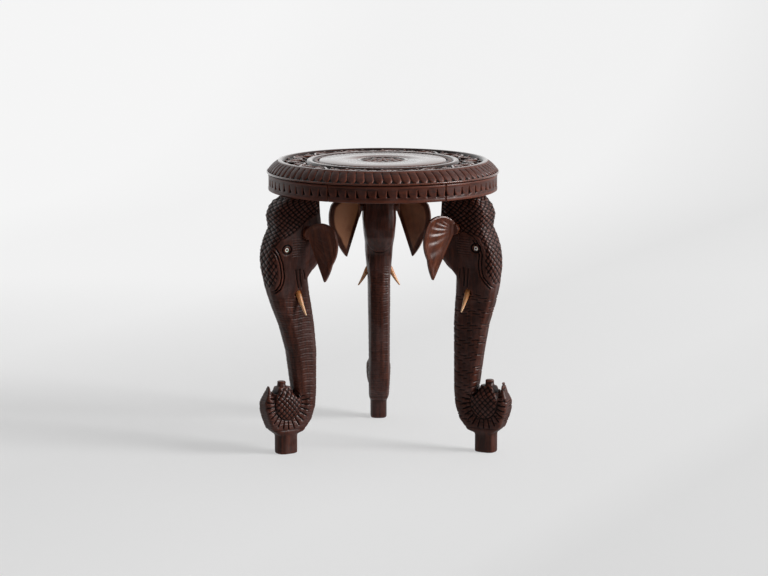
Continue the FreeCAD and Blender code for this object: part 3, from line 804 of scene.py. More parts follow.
@dataclass(frozen=True)
class TableTop:
    """The turned top: field, rosette, bead band, sunk border with a carved vine, and a carved bevel.

    The bevel runs from the shoulder down to the lip. Places on it are shares, from 0 at the shoulder to 1 at
    the lip.
    """

    radius: float = 164.95
    top: float = STOOL_HEIGHT
    lip: float = 390.0
    lip_setback: float = 0.8
    shoulder: float = 148.4
    shoulder_drop: float = 1.0
    border_outer: float = 142.2
    border_inner: float = 107.6
    border_depth: float = 4.0
    bead_outer: float = 100.1
    bead_inner: float = 89.7
    bead_depth: float = 2.4
    rosette: float = 32.0
    rosette_depth: float = 2.5
    steps: int = 240
    tongues: int = 80
    tongue_steps: int = 16
    beads: int = 84
    bends: int = 14

    @property
    def _run(self) -> float:
        """How far the bevel reaches outwards."""
        return self.radius - self.lip_setback - self.shoulder

    @property
    def _drop(self) -> float:
        """How far the bevel falls."""
        return self.top - self.shoulder_drop - self.lip

    def build(self) -> None:
        """Builds every piece of the top."""
        zones = (
            (self.border_inner + 0.3, self.border_outer - 0.3, 1.2, 0.6),
            (self.bead_inner + 0.2, self.bead_outer - 0.2, 0.9, 1.0),
            (-1.0, self.rosette - 0.5, 1.2, 0.7),
        )
        pieces = {
            "top_board": self._board(),
            "top_bevel": self._bevel(),
            "top_border_vine": self._vine(),
            "top_bead_band": self._bead_band(),
            "top_rosette": self._rosette(),
        }
        for name, mesh in pieces.items():
            x, y, z = read(mesh).T / MM
            radius, cut = np.hypot(x, y), 0 * z
            # Darker with depth below the face in the sunk border, the bead band, the rosette and the gaps of
            # the bevel: partly grime and partly painted shade
            for inner, outer, clear, gain in zones:
                cut = np.where((radius > inner) & (radius < outer), (self.top - z - clear) * gain, cut)
            share = (radius - self.shoulder) / self._run
            bow = 2.1 * np.sin(math.pi * np.clip(share, 0, 1))
            crest = self.top - self.shoulder_drop - share * self._drop + bow
            cut = np.where((share > 0.03) & (share < 0.97), (crest - z - 0.7) * 0.9, cut)
            rim, finish = 0.0, TOP_FINISH
            if name == "top_bevel":
                # Painted highlight on the rim of each tongue of the bevel that faces the light
                behind = self._half_width(share) - self._across(np.arctan2(y, x), share)
                rim = 2.4 * between(behind, (-0.1, 0.02), (0.1, 0.26))
                rim = rim * ease(share, 0.1, 0.4) * (share < 0.97)
                finish = RING_FINISH
            mark_shade_wear_and_highlights(mesh, np.clip(cut, 0, 2), rim)
            store_grain(mesh, (1, 0.15, 0), UP, 0.4)
            finished_piece(name, mesh, "table_top", finish)

    def _board(self) -> bpy.types.Mesh:
        """Turns the board, from the middle of its upper side to the middle of its underside.

        Returns:
            The mesh.
        """
        face = [(0, 2.6), (12, 2.6), (self.rosette - 1, 2.4), (self.rosette, 0.9), (self.rosette + 0.6, 0.5)]
        face += [(36, 0.5), (36.8, 1.7), (37.6, 0.5), (60, 0.5), (self.bead_inner - 0.7, 0.5)]
        face += [(self.bead_inner, 1.0), (self.bead_inner + 0.3, 2.4), (self.bead_outer - 0.3, 2.4)]
        face += [(self.bead_outer, 0.9), (self.bead_outer + 1.2, 0.3), (103.8, 0.05)]
        face += [(self.border_inner - 1, 0.3), (self.border_inner, 1.0)]
        face += [(self.border_inner + 0.4, self.border_depth), (self.border_outer - 0.4, self.border_depth)]
        face += [(self.border_outer, 0.8)]
        face += [(self.border_outer + 1, 0.1), (145.6, 0), (self.shoulder - 0.8, 0.1), (self.shoulder, 0.9)]
        edge = [(-0.5, 0.6), (0, -0.2), (-0.2, -1.6), (-1.4, -2.0)]
        profile = [(r, self.top - depth) for r, depth in face]
        profile += [(r - 0.9, z - 0.9) for r, z in map(self._bevel_line, np.linspace(0.08, 0.94, 7))]
        profile += [(self.radius + r, self.lip + z) for r, z in edge]
        profile += [(self.radius - 2, APRON_TOP), (100, APRON_TOP), (0, APRON_TOP)]
        return lathe("top_board", profile, self.steps)

    def _bevel_line(self, share: float) -> tuple[float, float]:
        """Finds a place on the bevel's crest, which is a little convex.

        Args:
            share: How far down the bevel it is.

        Returns:
            Its radius and height.
        """
        bow = 1.5 * math.sin(math.pi * share) / math.hypot(self._run, self._drop)
        r = self.shoulder + self._run * share + bow * self._drop
        z = self.top - self.shoulder_drop - self._drop * share + bow * self._run
        return r, z

    def _across(self, turn: np.ndarray, share: np.ndarray | float) -> np.ndarray:
        """Where points of the bevel lie across their slanting tongue: -1 to 1, with 0 on its middle line."""
        return ((turn * self.tongues / TURN - 0.3 * (share - 0.5)) % 1) * 2 - 1

    @staticmethod
    def _half_width(share: np.ndarray | float) -> np.ndarray:
        """Half a tongue's width as a part of half its pitch: straight sides and a round lower end."""
        return 0.93 * np.sqrt(np.clip(1 - (np.clip(share - 0.62, 0, None) / 0.34) ** 2, 0, 1))

    def _bevel(self) -> bpy.types.Mesh:
        """Carves the bevel: slanting tongues with round lower ends, each a small pillow in a gouged line.

        Returns:
            The mesh.
        """
        steps, full = self.tongues * self.tongue_steps, 1.6
        angles = np.arange(steps) * TURN / steps
        rows = [round_axis(self.shoulder - 3, angles, self.top - 7)]
        for share in np.linspace(0, 1, 21):
            r, z = self._bevel_line(share)
            half = float(self._half_width(share))
            across = np.abs(self._across(angles, share))
            pillow = np.minimum(0.1 + 0.9 * (across / max(half, 0.05)) ** 4, full)
            depth = np.where(across < half, pillow, full) * ease(share, 0, 0.12) * ease(1 - share, 0, 0.05)
            rows.append(round_axis(r - 0.7 * depth, angles, z - 0.7 * depth))
        rows.append(round_axis(self.radius - 6, angles, self.lip - 1))
        return loft("top_bevel", np.array(rows).transpose(1, 0, 2), closed=True)

    def _vine(self) -> bpy.types.Mesh:
        """Carves a wavy stem in the sunk border, with a fan of leaves and two buds in each bend.

        Returns:
            The mesh.
        """
        middle = 0.5 * (self.border_inner + self.border_outer)
        floor = self.top - self.border_depth
        angles = np.linspace(0, TURN, 420, endpoint=False)
        path = round_axis(middle + 9.0 * np.sin(self.bends * angles), angles, 0.0)
        ahead = np.roll(path, -1, 0) - np.roll(path, 1, 0)
        side = np.cross(UP, ahead / np.linalg.norm(ahead, axis=1)[:, None])
        turns = np.arange(6) * TURN / 6
        rings = [path + 1.7 * math.cos(a) * side + UP * (floor + 1.2 + 1.8 * math.sin(a)) for a in turns]
        meshes = [loft("stem", np.array(rings).transpose(1, 0, 2), closed=True)]
        step = 360 / self.bends
        for sign, place in ((1, 0.75), (-1, 0.25)):
            cluster = []
            for turn, length, width in FAN:
                leaf = leaf_rings(length, width, 2.6, 0.4)
                pointing = turn if sign > 0 else 180 - turn
                cluster.append(loft("leaf", turned(leaf, pointing, (middle - sign * 3.5, 0, floor))))
            for shift in (-0.24 * step, 0.24 * step):
                x, y, _ = round_axis(middle + sign * 13.0, math.radians(shift), 0.0)
                bud = leaf_rings(7, 5.5, 2.8, 0.4, stations=5)
                cluster.append(loft("bud", turned(bud, 90 + shift, (x, y - 3.5, floor))))
            ring = RingOfCopies(f"vine_leaves_{place}", self.bends, first=step * place)
            meshes.append(ring.build(joined("cluster", cluster), TOP_FINISH.material()))
        return joined("top_border_vine", meshes)

    def _bead_band(self) -> bpy.types.Mesh:
        """Carves a narrow band of small leaves that lie one after another.

        Returns:
            The mesh.
        """
        middle = 0.5 * (self.bead_inner + self.bead_outer)
        length = TURN * middle / self.beads
        leaf = leaf_rings(length * 0.98, 7.6, 1.6, 0.3, stations=5)
        bead = loft("bead", turned(leaf, 90, (middle, -0.49 * length, self.top - self.bead_depth)))
        return RingOfCopies("bead_band", self.beads).build(bead, TOP_FINISH.material())

    def _rosette(self) -> bpy.types.Mesh:
        """Carves a flower of three rounds of petals about a button.

        Returns:
            The mesh.
        """
        floor = self.top - self.rosette_depth
        meshes = []
        for index, (count, start, length, width, rise, first) in enumerate(PETALS):
            petal = loft("petal", turned(leaf_rings(length, width, rise, 0.3), 0, (start, 0, floor)))
            ring = RingOfCopies(f"petals_{index}", count, first)
            meshes.append(ring.build(petal, TOP_FINISH.material()))
        button = [(0, 2.3), (1.6, 2.1), (2.8, 1.2), (3.2, -0.3), (0, -0.3)]
        meshes.append(lathe("button", [(r, floor + z) for r, z in button], 20))
        return joined("top_rosette", meshes)


@dataclass(frozen=True)
class ApronRing:
    """The ring under the top, sawn in six, each with upright tongues and an open joint at its ends."""

    radius: float = 162.4
    inner: float = 100.0
    bottom: float = LEG_HEIGHT
    top: float = APRON_TOP
    band_low: float = 367.8
    band_high: float = 383.8
    first: float = 92.3
    pieces: int = 6
    tongues: int = 12
    joint: float = 0.7
    seed: int = 11

    def build(self) -> None:
        """Builds the six segments."""
        for index in range(self.pieces):
            azimuth = math.radians(self.first + 60.0 * index)
            mesh, cut, rubbed_and_lit = self._segment(azimuth, index)
            mark_shade_wear_and_highlights(mesh, cut, rubbed_and_lit)
            store_grain(mesh, (-math.sin(azimuth), math.cos(azimuth), 0.0), UP, 0.9 * index + 0.3)
            name = f"apron_segment_{index + 1}"
            finished_piece(name + "_carved", mesh, name, RING_FINISH)

    def _segment(self, azimuth: float, index: int) -> tuple[bpy.types.Mesh, np.ndarray, np.ndarray]:
        """One segment: a plain ring with a row of curved darts cut into it, with tongues between them.

        Args:
            azimuth: The segment's middle, in radians.
            index: The segment's number.

        Returns:
            The mesh, the depth that was cut at each of its points, and the painted highlight at each.
        """
        radius, low, high = self.radius, self.band_low, self.band_high
        profile = [(self.inner, self.bottom), (radius - 1.2, self.bottom)]
        profile += [(radius - 0.2, self.bottom + 0.5), (radius, self.bottom + 1.4)]
        profile += [(radius, low - 0.9), (radius - 0.3, low)]
        profile += [(radius - 0.35, z) for z in np.linspace(low + 0.7, high - 0.6, 22)]
        profile += [(radius, high + 0.2), (radius, self.top - 1.2), (radius - 0.7, self.top - 0.3)]
        profile += [(radius - 1.6, self.top), (self.inner, self.top)]
        r, z = np.array(profile).T
        pitch = math.radians(360 / self.pieces / self.tongues) * radius
        darts = np.random.default_rng(self.seed + index).uniform(-1, 1, (self.tongues + 1, 3))
        half = 0.5 * pitch * self.tongues - self.joint
        fine = np.array([0, 0.35, 0.7, 1.1, 1.6, 2.2, 3.2, 5.0])
        offsets = np.concatenate([fine, [0.5 * pitch], pitch - fine[:0:-1]])
        places = (np.arange(self.tongues)[:, None] * pitch + offsets).ravel() - 0.5 * pitch * self.tongues
        places = places[np.abs(places) < half - 0.5]
        rings, depths, painted_highlights = [], [], []
        for place in (-half, -half + 0.4, *places, half - 0.4, half):
            nearest = int(round(place / pitch + 0.5 * self.tongues))
            depth, rub_and_highlight = self._dart(place - (nearest - 0.5 * self.tongues) * pitch, z, darts[nearest])
            depth, rub_and_highlight = np.where(r > radius - 1, (depth, rub_and_highlight), 0)
            ended = 0.6 * (abs(place) > half - 0.1) * (r > radius - 2)
            rings.append(round_axis(r - depth - ended, azimuth + place / radius, z))
            depths.append(depth)
            painted_highlights.append(rub_and_highlight)
        mesh = loft("segment", np.array(rings))
        return mesh, np.append(np.ravel(depths), [0, 0]), np.append(np.ravel(painted_highlights), [0, 0])

    @staticmethod
    def _dart(x: float, z: np.ndarray, odd: np.ndarray) -> tuple[np.ndarray, np.ndarray]:
        """One dart: a thin cut that widens and curls to one side at its foot, with soft shoulders.

        Args:
            x: Distance along the ring from the dart's middle.
            z: Heights.
            odd: Three numbers from -1 to 1 that make each dart a little different.

        Returns:
            The depth at each height, and a painted highlight on the arris at its left, whose wall faces the
            light.
        """
        fall = (381.0 + 0.4 * odd[0] - z) / (10.6 + 0.5 * odd[1])
        held = np.clip(fall, 0, 1)
        width = 0.8 + (2.7 + 0.5 * odd[2]) * held**2
        middle = 0.25 * odd[1] + 1.3 * held**2.5
        inside = np.clip(1 - (np.abs(x - middle) / width) ** 1.6, 0, 1)
        reach = between(fall, (-0.05, 0.2), (0.93, 1.04))
        shoulder = 0.3 * np.clip(1 - abs(x) / 4.0, 0, 1) ** 2 * between(fall, (0.0, 0.3), (1.1, 1.2))
        # Painted highlight: a thin pale line up the dart's left arris, where its wall faces the light
        rub_and_highlight = 1.5 * between(x - middle + width, (-1.3, -0.7), (0.2, 0.6)) * reach
        return 2.0 * inside * reach + shoulder, rub_and_highlight


def remeshed_copy(node: str, voxel: float, rounds: int) -> bpy.types.Mesh:
    """Copies a CAD node's mesh, gives it an even net of small faces and softens its arrises.

    Args:
        node: The CAD node.
        voxel: The size of the small faces, in millimetres.
        rounds: How often the net is smoothed.

    Returns:
        The new mesh, in metres.
    """
    mesh = bpy.data.objects[node].data.copy()
    made = bmesh.new()
    made.from_mesh(mesh)
    bmesh.ops.remove_doubles(made, verts=made.verts, dist=1e-6)
    made.to_mesh(mesh)
    made.free()
    host = new_object("net", mesh)
    net = host.modifiers.new("net", "REMESH")
    net.mode = "VOXEL"
    net.voxel_size = voxel * MM * 1.0
    soft = host.modifiers.new("soft", "SMOOTH")
    soft.factor = 0.5
    soft.iterations = rounds
    done = applied(host)
    bpy.data.meshes.remove(mesh)
    if "custom_normal" in done.attributes:
        done.attributes.remove(done.attributes["custom_normal"])
    make_smooth(done)
    return done


@dataclass(frozen=True)
class Stand:
    """Where a leg stands, how far its head leans out in millimetres, and which of its sides is worked on."""

    azimuth: float
    lean: float
    mirrored: bool = False

    @property
    def out(self) -> np.ndarray:
        """The direction away from the stool's axis."""
        a = math.radians(self.azimuth)
        return np.array([math.cos(a), math.sin(a), 0])

    @property
    def side(self) -> np.ndarray:
        """The sideways direction."""
        return np.cross(UP, self.out) * (-1 if self.mirrored else 1)

    def lean_at(self, height: np.ndarray | float) -> np.ndarray | float:
        """How far the leg leans out at a height."""
        return self.lean * np.interp(np.asarray(height) / LEG_HEIGHT, *zip(*LEAN_SHARES))

    def seat(self, height_share: float, depth_share: float, sideways: float, rise: float = 0.0) -> np.ndarray:
        """A seat on the side of the head, in millimetres.

        Args:
            height_share: Its height as a share of the leg's.
            depth_share: Its place across the plank, from the inner face, as a share of the plank's depth.
            sideways: How far it is from the leg's middle plane.
            rise: How far it is set higher than that.

        Returns:
            The seat's middle.
        """
        height = height_share * LEG_HEIGHT
        reach = LEG_INNER + depth_share * LEG_DEPTH + self.lean_at(height)
        return self.out * reach + self.side * sideways + UP * (height + rise)


@dataclass(frozen=True)
class LegPoints:
    """The points of a leg that doesn't lean.

    Attributes:
        r: Distance from the stool's axis.
        t: Distance from the leg's middle plane.
        z: Height.
        sideways: How far the surface faces to either side, 0 to 1.
        outward: How far it faces away from the axis, -1 to 1.
    """

    r: np.ndarray
    t: np.ndarray
    z: np.ndarray
    sideways: np.ndarray
    outward: np.ndarray

    @property
    def flank(self) -> np.ndarray:
        """1 on the flat sides."""
        return ease(self.sideways, 0.25, 0.5)

    def picked(self, mask: np.ndarray) -> "LegPoints":
        """The points that a mask picks."""
        return LegPoints(*(values[mask] for values in (self.r, self.t, self.z, self.sideways, self.outward)))


@dataclass(frozen=True)
class Lines:
    """A carver's lines on a head, as distance from the stool's axis and height.

    Attributes:
        shield: The edge of the scales on the brow and dome.
        groove: The double groove beside them.
        brow: The folds of the brow.
    """

    shield: Line
    groove: Line
    brow: tuple[Line, ...]


LEFT_LINES = Lines(
    [(194, 230), (187, 236), (181, 244), (178.5, 253), (178, 262), (180, 273), (182, 284), (181, 295)]
    + [(178, 304), (168, 308), (156, 312), (145, 321), (131, 331), (112, 340), (106, 352)],
    [(186, 231), (180, 236), (175.5, 244), (173.5, 253)]
    + [(173.5, 262), (175.5, 273), (179.5, 284), (186, 295)],
    ([(190, 290), (183, 296), (177, 304), (171, 311), (168, 313)], [(193, 299), (184, 307), (176, 315)]),
)
RIGHT_LINES = Lines(
    [(193, 231), (186, 239), (180, 250), (176, 262), (177, 274), (178, 286), (175, 297), (168, 308)]
    + [(160, 311), (145, 313), (133, 316), (120, 322), (108, 330), (106, 352)],
    [(185, 235), (179, 243), (173, 252), (171, 262), (172, 273), (174, 283), (171, 292), (165, 303)],
    ([(165, 303), (160, 309), (152, 312)],),
)
# Cuts on every head, each with half its width and its depth: three lines of the jaw, the hollow by the
# tusk and the crease of the ear
HEAD_CUTS = (
    ([(150, 262), (149, 250), (146.5, 236)], 1.2, 1.2),
    ([(143.5, 263), (143.5, 250), (141.5, 237)], 1.2, 1.2),
    ([(137.5, 261), (135.5, 248)], 1.2, 1.2),
    ([(149.5, 228), (150.5, 214)], 3.0, 3.2),
    ([(141.5, 331), (138, 325), (140.5, 316), (140, 304)], 1.3, 0.9),
)


@dataclass(frozen=True)
class ElephantLeg:
    """One leg: an elephant's head, its trunk, and the curl that holds a fruit."""

    node: str
    stand: Stand
    lines: Lines
    seed: float
    dashes: float = 0.0
    tip_rise: float = 0.5
    eye: tuple = (164.4, 292.2)
    ball: tuple = (166.0, 73.0)
    ball_half: tuple = (21.0, 24.0)
    rim_width: float = 13.0
    foot_top: float = 34.0
    head_bottom: float = 225.0
    scale_across: float = 8.2
    scale_low: float = 9.8
    scale_high: float = 6.9
    fruit_scale: float = 8.4
    wrinkle: float = 3.5
    folds: int = 26
    tip_start: float = 184.5

    def build(self) -> None:
        """Builds the carved leg."""
        mesh = remeshed_copy(self.node, voxel=0.95, rounds=18)
        points, normals = read(mesh), read(mesh, "normal")
        out, side = self.stand.out, self.stand.side
        z = points[:, 2] / MM
        r = points @ out / MM - self.stand.lean_at(z)
        at = LegPoints(r, points @ side / MM, z, np.abs(normals @ side), normals @ out)
        step, line = self._chin(at)
        cut = np.maximum.reduce([self._head(at), self._trunk(at), self._curl(at), line])
        cut = np.where(z > LEG_HEIGHT - 1, 0, cut)
        notch = self._notch(at)
        swell = self._swell(at) * np.sign(at.t)
        points = points + (side * swell[:, None] - normals * np.maximum(cut, step)[:, None]) * MM
        points[:, 2] += notch * MM
        move(mesh, points)
        # The fruit's dropped shoulder in the notch is painted dark as well: painted shade
        mark_shade_wear_and_highlights(mesh, np.maximum(cut, -0.17 * notch))
        store_grain(mesh, UP, out, self.seed)
        finished_piece(self.node + "_carved", mesh, self.node, CARVED_FINISH)

    def _swell(self, at: LegPoints) -> np.ndarray:
        """Moves the sides out to round the fruit, and in to make the hollow rim that holds it.

        Args:
            at: The leg's points.

        Returns:
            How far each moves out.
        """
        far, half = self._from_ball(at), np.abs(at.t)
        round_side = self.rim_width + 5.4 * np.sqrt(np.clip(1 - far**2, 0, 1))
        wanted = np.where(far < 1, round_side, self.rim_width + 1.2 * ease(far, 1.0, 1.5))
        near = (1 - ease(far, 1.25, 1.5)) * ease(at.sideways, 0.2, 0.45) * ease(half, 9.5, 12.5)
        return (wanted - half) * near * (at.z > self.foot_top) * (1 - ease(at.z, 78, 90))

    def _notch(self, at: LegPoints) -> np.ndarray:
        """How far the trunk's tip rises and the fruit's shoulder drops, which opens the notch between."""
        drop = 8.0 * ease(at.r, 175.5, 181) * ease(at.z, 86, 96) * (at.r < self.tip_start) * (at.z < 101)
        return self.tip_rise * ease(at.z, 87, 95) * (at.r > self.tip_start) * (at.z < 110) - drop

    def _from_ball(self, at: LegPoints) -> np.ndarray:
        """How far each point lies from the fruit's middle, where 1 is its edge."""
        return np.hypot((at.r - self.ball[0]) / self.ball_half[0], (at.z - self.ball[1]) / self.ball_half[1])

    def _chin(self, at: LegPoints) -> tuple[np.ndarray, np.ndarray]:
        """Cuts the step below the round lower lip on the head's inner side, and the line round it.

        Args:
            at: The leg's points.

        Returns:
            The depth of the step and of the line at each point.
        """
        inner = ease(-at.outward, -0.25, 0.1) * (1 - ease(at.r + self._front(-at.r, at.z), 5, 8))
        lip = 253.5 + 34 * (1 - np.sqrt(np.clip(1 - (at.t / 22.5) ** 2, 0, 1)))
        under = ease(lip - at.z, 0.0, 1.5) * ease(at.z, 234, 250)
        return 2.2 * under * inner, gouge(np.abs(at.z - lip + 0.8), 2.2, 1.3) * inner

    @staticmethod
    def _front(r: np.ndarray, z: np.ndarray) -> np.ndarray:
        """Finds the leg's outermost line from the farthest points of every 2 mm.

        Args:
            r: The points' distances from the axis.
            z: Their heights.

        Returns:
            How far the leg reaches at each point's height.
        """
        count = 191
        bins = np.clip((z / 2).astype(int), 0, count - 1)
        most = np.full(count, -np.inf)
        np.maximum.at(most, bins, r)
        found = np.flatnonzero(most > -np.inf)
        return np.interp(z / 2 - 0.5, found, most[found])

    def _head(self, every: LegPoints) -> np.ndarray:
        """Cuts the head: scales, double line of the shield, brow, eye, temple, jaw and tusk sheath.

        Args:
            every: The leg's points.

        Returns:
            The depth at each point.
        """
        head = every.z > self.head_bottom
        at = every.picked(head)
        r, z, flank, groove = at.r, at.z, at.flank, self.lines.groove
        second = [(x - 4.6, y) for x, y in groove]
        border = np.minimum(line_distance(groove, r, z), line_distance(second, r, z))
        edge = np.interp(z, *reversed(list(zip(*self.lines.shield))))
        inside = ease(r - edge, 0.0, 1.2) * ease(z, 231, 233) * (at.outward > -0.5)
        inside *= np.maximum(ease(border, 1.4, 2.6), 1 - flank)
        along = z / self.scale_low + np.clip(z - 298, 0, None) * (1 / self.scale_high - 1 / self.scale_low)
        around = 0.62 * np.abs(at.t) + self._front(r, z) - r
        around = around / (self.scale_across + 1.2 * ease(z, 285, 312))
        eye = np.hypot((r - self.eye[0]) / 8.2, (z - self.eye[1]) / 7.4)
        rows = np.abs(((z + 0.04 * r) / 3.5) % 1 - 0.5) * 3.5
        temple = between(z, (279, 281), (306, 309)) * between(r, (134, 136), (155.5, 157))
        cut = np.maximum(gouge(border, 1.3, 1.9), gouge(np.abs(eye - 0.84) * 7.8, 1.9, 1.5))
        cut = np.maximum(cut, gouge(rows, 0.9, 0.7) * temple)
        for line, width, depth in (*((fold, 1.2, 1.1) for fold in self.lines.brow), *HEAD_CUTS):
            cut = np.maximum(cut, gouge(line_distance(line, r, z), width, depth))
        whole = np.zeros(len(head))
        whole[head] = np.maximum(cut * flank, scales(around + along, around - along, 1.5) * inside)
        return whole

    def _trunk(self, at: LegPoints) -> np.ndarray:
        """Cuts the fine wrinkles round the trunk, as whole rings or broken into dashes.

        Args:
            at: The leg's points.

        Returns:
            The depth at each point.
        """
        r, t, z = at.r, at.t, at.z
        wave = 0.8 * np.sin(0.17 * r + self.seed) + 0.6 * np.sin(0.23 * t + 0.05 * z)
        row = (z + wave) / self.wrinkle
        rows = np.abs(row % 1 - 0.5) * self.wrinkle
        number, hand = np.floor(row), np.sign(t)
        uneven = 0.6 + 0.4 * np.sin(2.4 * number + 0.09 * r * hand + 0.05 * t)
        broken = np.sin(7.3 * number) + np.sin(0.31 * r + 4.1 * number * hand)
        broken = broken + 0.6 * np.sin(0.2 * t + number)
        uneven = uneven * (1 - self.dashes) + 1.35 * self.dashes * ease(broken, 0.0, 0.9)
        start = 223 + (192 - r) * 0.18
        reach = (1 - ease(z, start - 3, start)) * ease(z, 38, 41)
        return gouge(rows, 1.05, 0.5 + 0.3 * self.dashes) * uneven * reach

    def _curl(self, at: LegPoints) -> np.ndarray:
        """Cuts the folds of the curl, the lattice of the fruit and the line round the top of the foot.

        Args:
            at: The leg's points.

        Returns:
            The depth at each point.
        """
        dr, dz = at.r - self.ball[0], at.z - self.ball[1]
        far = self._from_ball(at)
        low = (at.z < 103) & (at.z > self.foot_top)
        turn = np.arctan2(dz, dr) / TURN * self.folds
        rays = np.abs(turn % 1 - 0.5) * TURN * np.hypot(dr, dz) / self.folds
        rim = between(far, (1.0, 1.08), (1.5, 1.65)) * (dz < 10)
        cut = gouge(rays, 0.5 + 0.5 * far, 1.7) * rim
        cut = np.maximum(cut, gouge(np.abs(far - 1.0) * 22, 1.2, 1.1) * (dz < 18)) * at.flank
        fruit = (1 - ease(far, 0.93, 0.98)) * ease(at.sideways, 0.15, 0.4)
        lattice = scales((dr + dz) / self.fruit_scale, (dr - dz) / self.fruit_scale, 1.45)
        foot_line = gouge(np.abs(at.z - self.foot_top - 1.2), 0.9, 0.8)
        return np.maximum(np.maximum(cut, lattice * fruit) * low, foot_line * (at.z < 38))


@dataclass(frozen=True)
class Ear:
    """One ear: a cupped blade with a rim, veins that fan out from the root, and a plain back."""

    tilt: float
    raised: float
    width: float
    height: float
    folds: int = 8
    thickness_half: float = 3.4
    turn_out: tuple = (0.463, 0.886)
    outline: tuple = ((0.05, -0.10), (0.62, -0.78), (0.836, -0.467), (0.845, 0.12), (-0.02, 0.09))

    def build(self, node: str, stand: Stand, seed: float, back_wear_and_light: float) -> None:
        """Builds the carved ear.

        Args:
            node: The CAD node.
            stand: The leg's stand, with the ear's side.
            seed: Moves the veins and the grain.
            back_wear_and_light: How much paler the back is painted: partly wear and partly painted light.
        """
        mesh = remeshed_copy(node, voxel=0.7, rounds=8)
        points = read(mesh)
        root, across, up, front = self._axes(stand)
        x, y, h = ((points / MM - root) @ np.array([across, up, front]).T).T
        edge = self._edge_distance(x, y)
        blade, far, angle = ease(x, 5, 9), np.hypot(x, y), np.arctan2(y + 2, x + 1)
        swing = angle * self.folds / 2.4 + 0.3 * np.sin(far * 0.07) + 0.35 * np.sin(2.3 * angle + seed)
        fold = (0.5 - 0.5 * np.cos(TURN * swing)) * (0.6 + 0.4 * np.sin(3.1 * angle + 0.11 * far + seed))
        hollow = ease(edge, 1.5, 8.0)
        dish = 0.7 * (1 - ease(edge, 0, 2.5)) + hollow * (1.4 + 1.1 * fold * ease(far, 8, 26))
        face = self.thickness_half - dish
        back = 2.0 * (1 - ease(edge, 0.5, 9.0)) - self.thickness_half
        shaped = np.where(h > 0.2, np.where(edge > 1, face, np.minimum(h, face)), np.maximum(h, back))
        move(mesh, points + front * ((shaped - h) * blade)[:, None] * MM)
        behind = (h < 0) * blade
        bevel = behind * (1 - ease(edge, 5.0, 8.5))
        # The hollows between the veins get painted shade, and the bevelled rim of the back is painted darker
        mark_shade_wear_and_highlights(mesh, hollow * fold * 0.45 * blade * (h > 0.2) + 0.9 * bevel)
        # The back is painted paler, more on the left ears: partly wear, partly painted light
        store(mesh, "worn_and_lit", back_wear_and_light * 1.8 * behind * (1 - bevel))
        store_grain(mesh, up - 0.3 * across, front, seed)
        finished_piece(node + "_carved", mesh, node, EAR_FINISH)

    def _axes(self, stand: Stand) -> tuple[np.ndarray, np.ndarray, np.ndarray, np.ndarray]:
        """Finds where the ear stands.

        Args:
            stand: The leg's stand, with the ear's side.

        Returns:
            Its root in millimetres, and its directions across, up and out of its hollow side.
        """
        less, more = self.turn_out
        flat = more * stand.side - less * stand.out
        front = more * stand.out + less * stand.side
        c, s = math.cos(math.radians(self.tilt)), math.sin(math.radians(self.tilt))
        return stand.seat(0.86, 0.315, 26.0, self.raised), c * flat + s * UP, c * UP - s * flat, front

    def _edge_distance(self, x: np.ndarray, y: np.ndarray) -> np.ndarray:
        """Finds how far each point lies from the ear's outline.

        Args:
            x: The points' places across from the root.
            y: Their places up from it.

        Returns:
            The distances.
        """
        corners = [(u * self.width, v * self.height) for u, v in self.outline]
        arcs = (0.9 * self.height, 0.55 * self.height, 0.62 * self.width)
        line = corners[:2]
        for (x0, y0), (x1, y1), radius in zip(corners[1:], corners[2:], arcs):
            half = 0.5 * math.hypot(x1 - x0, y1 - y0)
            bow = radius - math.sqrt(max(radius**2 - half**2, 0))
            nx, ny = (y1 - y0) / (2 * half), -(x1 - x0) / (2 * half)
            for s in np.linspace(0.15, 1, 7):
                h = bow * (1 - (2 * s - 1) ** 2)
                line.append((x0 + (x1 - x0) * s + nx * h, y0 + (y1 - y0) * s + ny * h))
        return line_distance([*line, corners[0]], x, y)


@dataclass(frozen=True)
class Tusk:
    """One tusk: a tapering bone peg with a slight bend."""

    node: str
    stand: Stand
    length: float
    thick: float = 7.6
    thin: float = 2.0
    bend: float = 1.1
    sunk: float = 8.0
    sides: int = 20
    tip_share: float = 0.04

    def build(self) -> None:
        """Builds the tusk."""
        out, side = self.stand.out, self.stand.side
        base = self.stand.seat(0.62, 0.455, 17.5)
        way = -0.087 * out + 0.498 * side - 0.863 * UP
        way /= np.linalg.norm(way)
        over = side - (side @ way) * way
        over /= np.linalg.norm(over)
        flank = np.cross(way, over)
        turns = np.linspace(0, TURN, self.sides, endpoint=False)
        circle = np.outer(np.cos(turns), over) + np.outer(np.sin(turns), flank)
        tip = self.length - np.array([0.5, 0.1])
        rings = []
        for place in (-self.sunk, 0, *np.linspace(4, self.length - 1.2, 9), *tip):
            s = max(place, 0) / self.length
            half = 0.5 * (self.thick + (self.thin - self.thick) * s**1.1)
            if s > 1 - self.tip_share:
                half *= math.sqrt(max(0.03, 1 - ((s - 1) / self.tip_share + 1) ** 2))
            rings.append(base + way * place - over * self.bend * 2.4 * s * (1 - s) + half * circle)
        mesh = loft(self.node, np.array(rings))
        store(mesh, "grain", (read(mesh) - base * MM) @ np.array([way, over, flank]).T)
        finished_piece(self.node + "_filed", mesh, self.node, TUSK_FINISH)


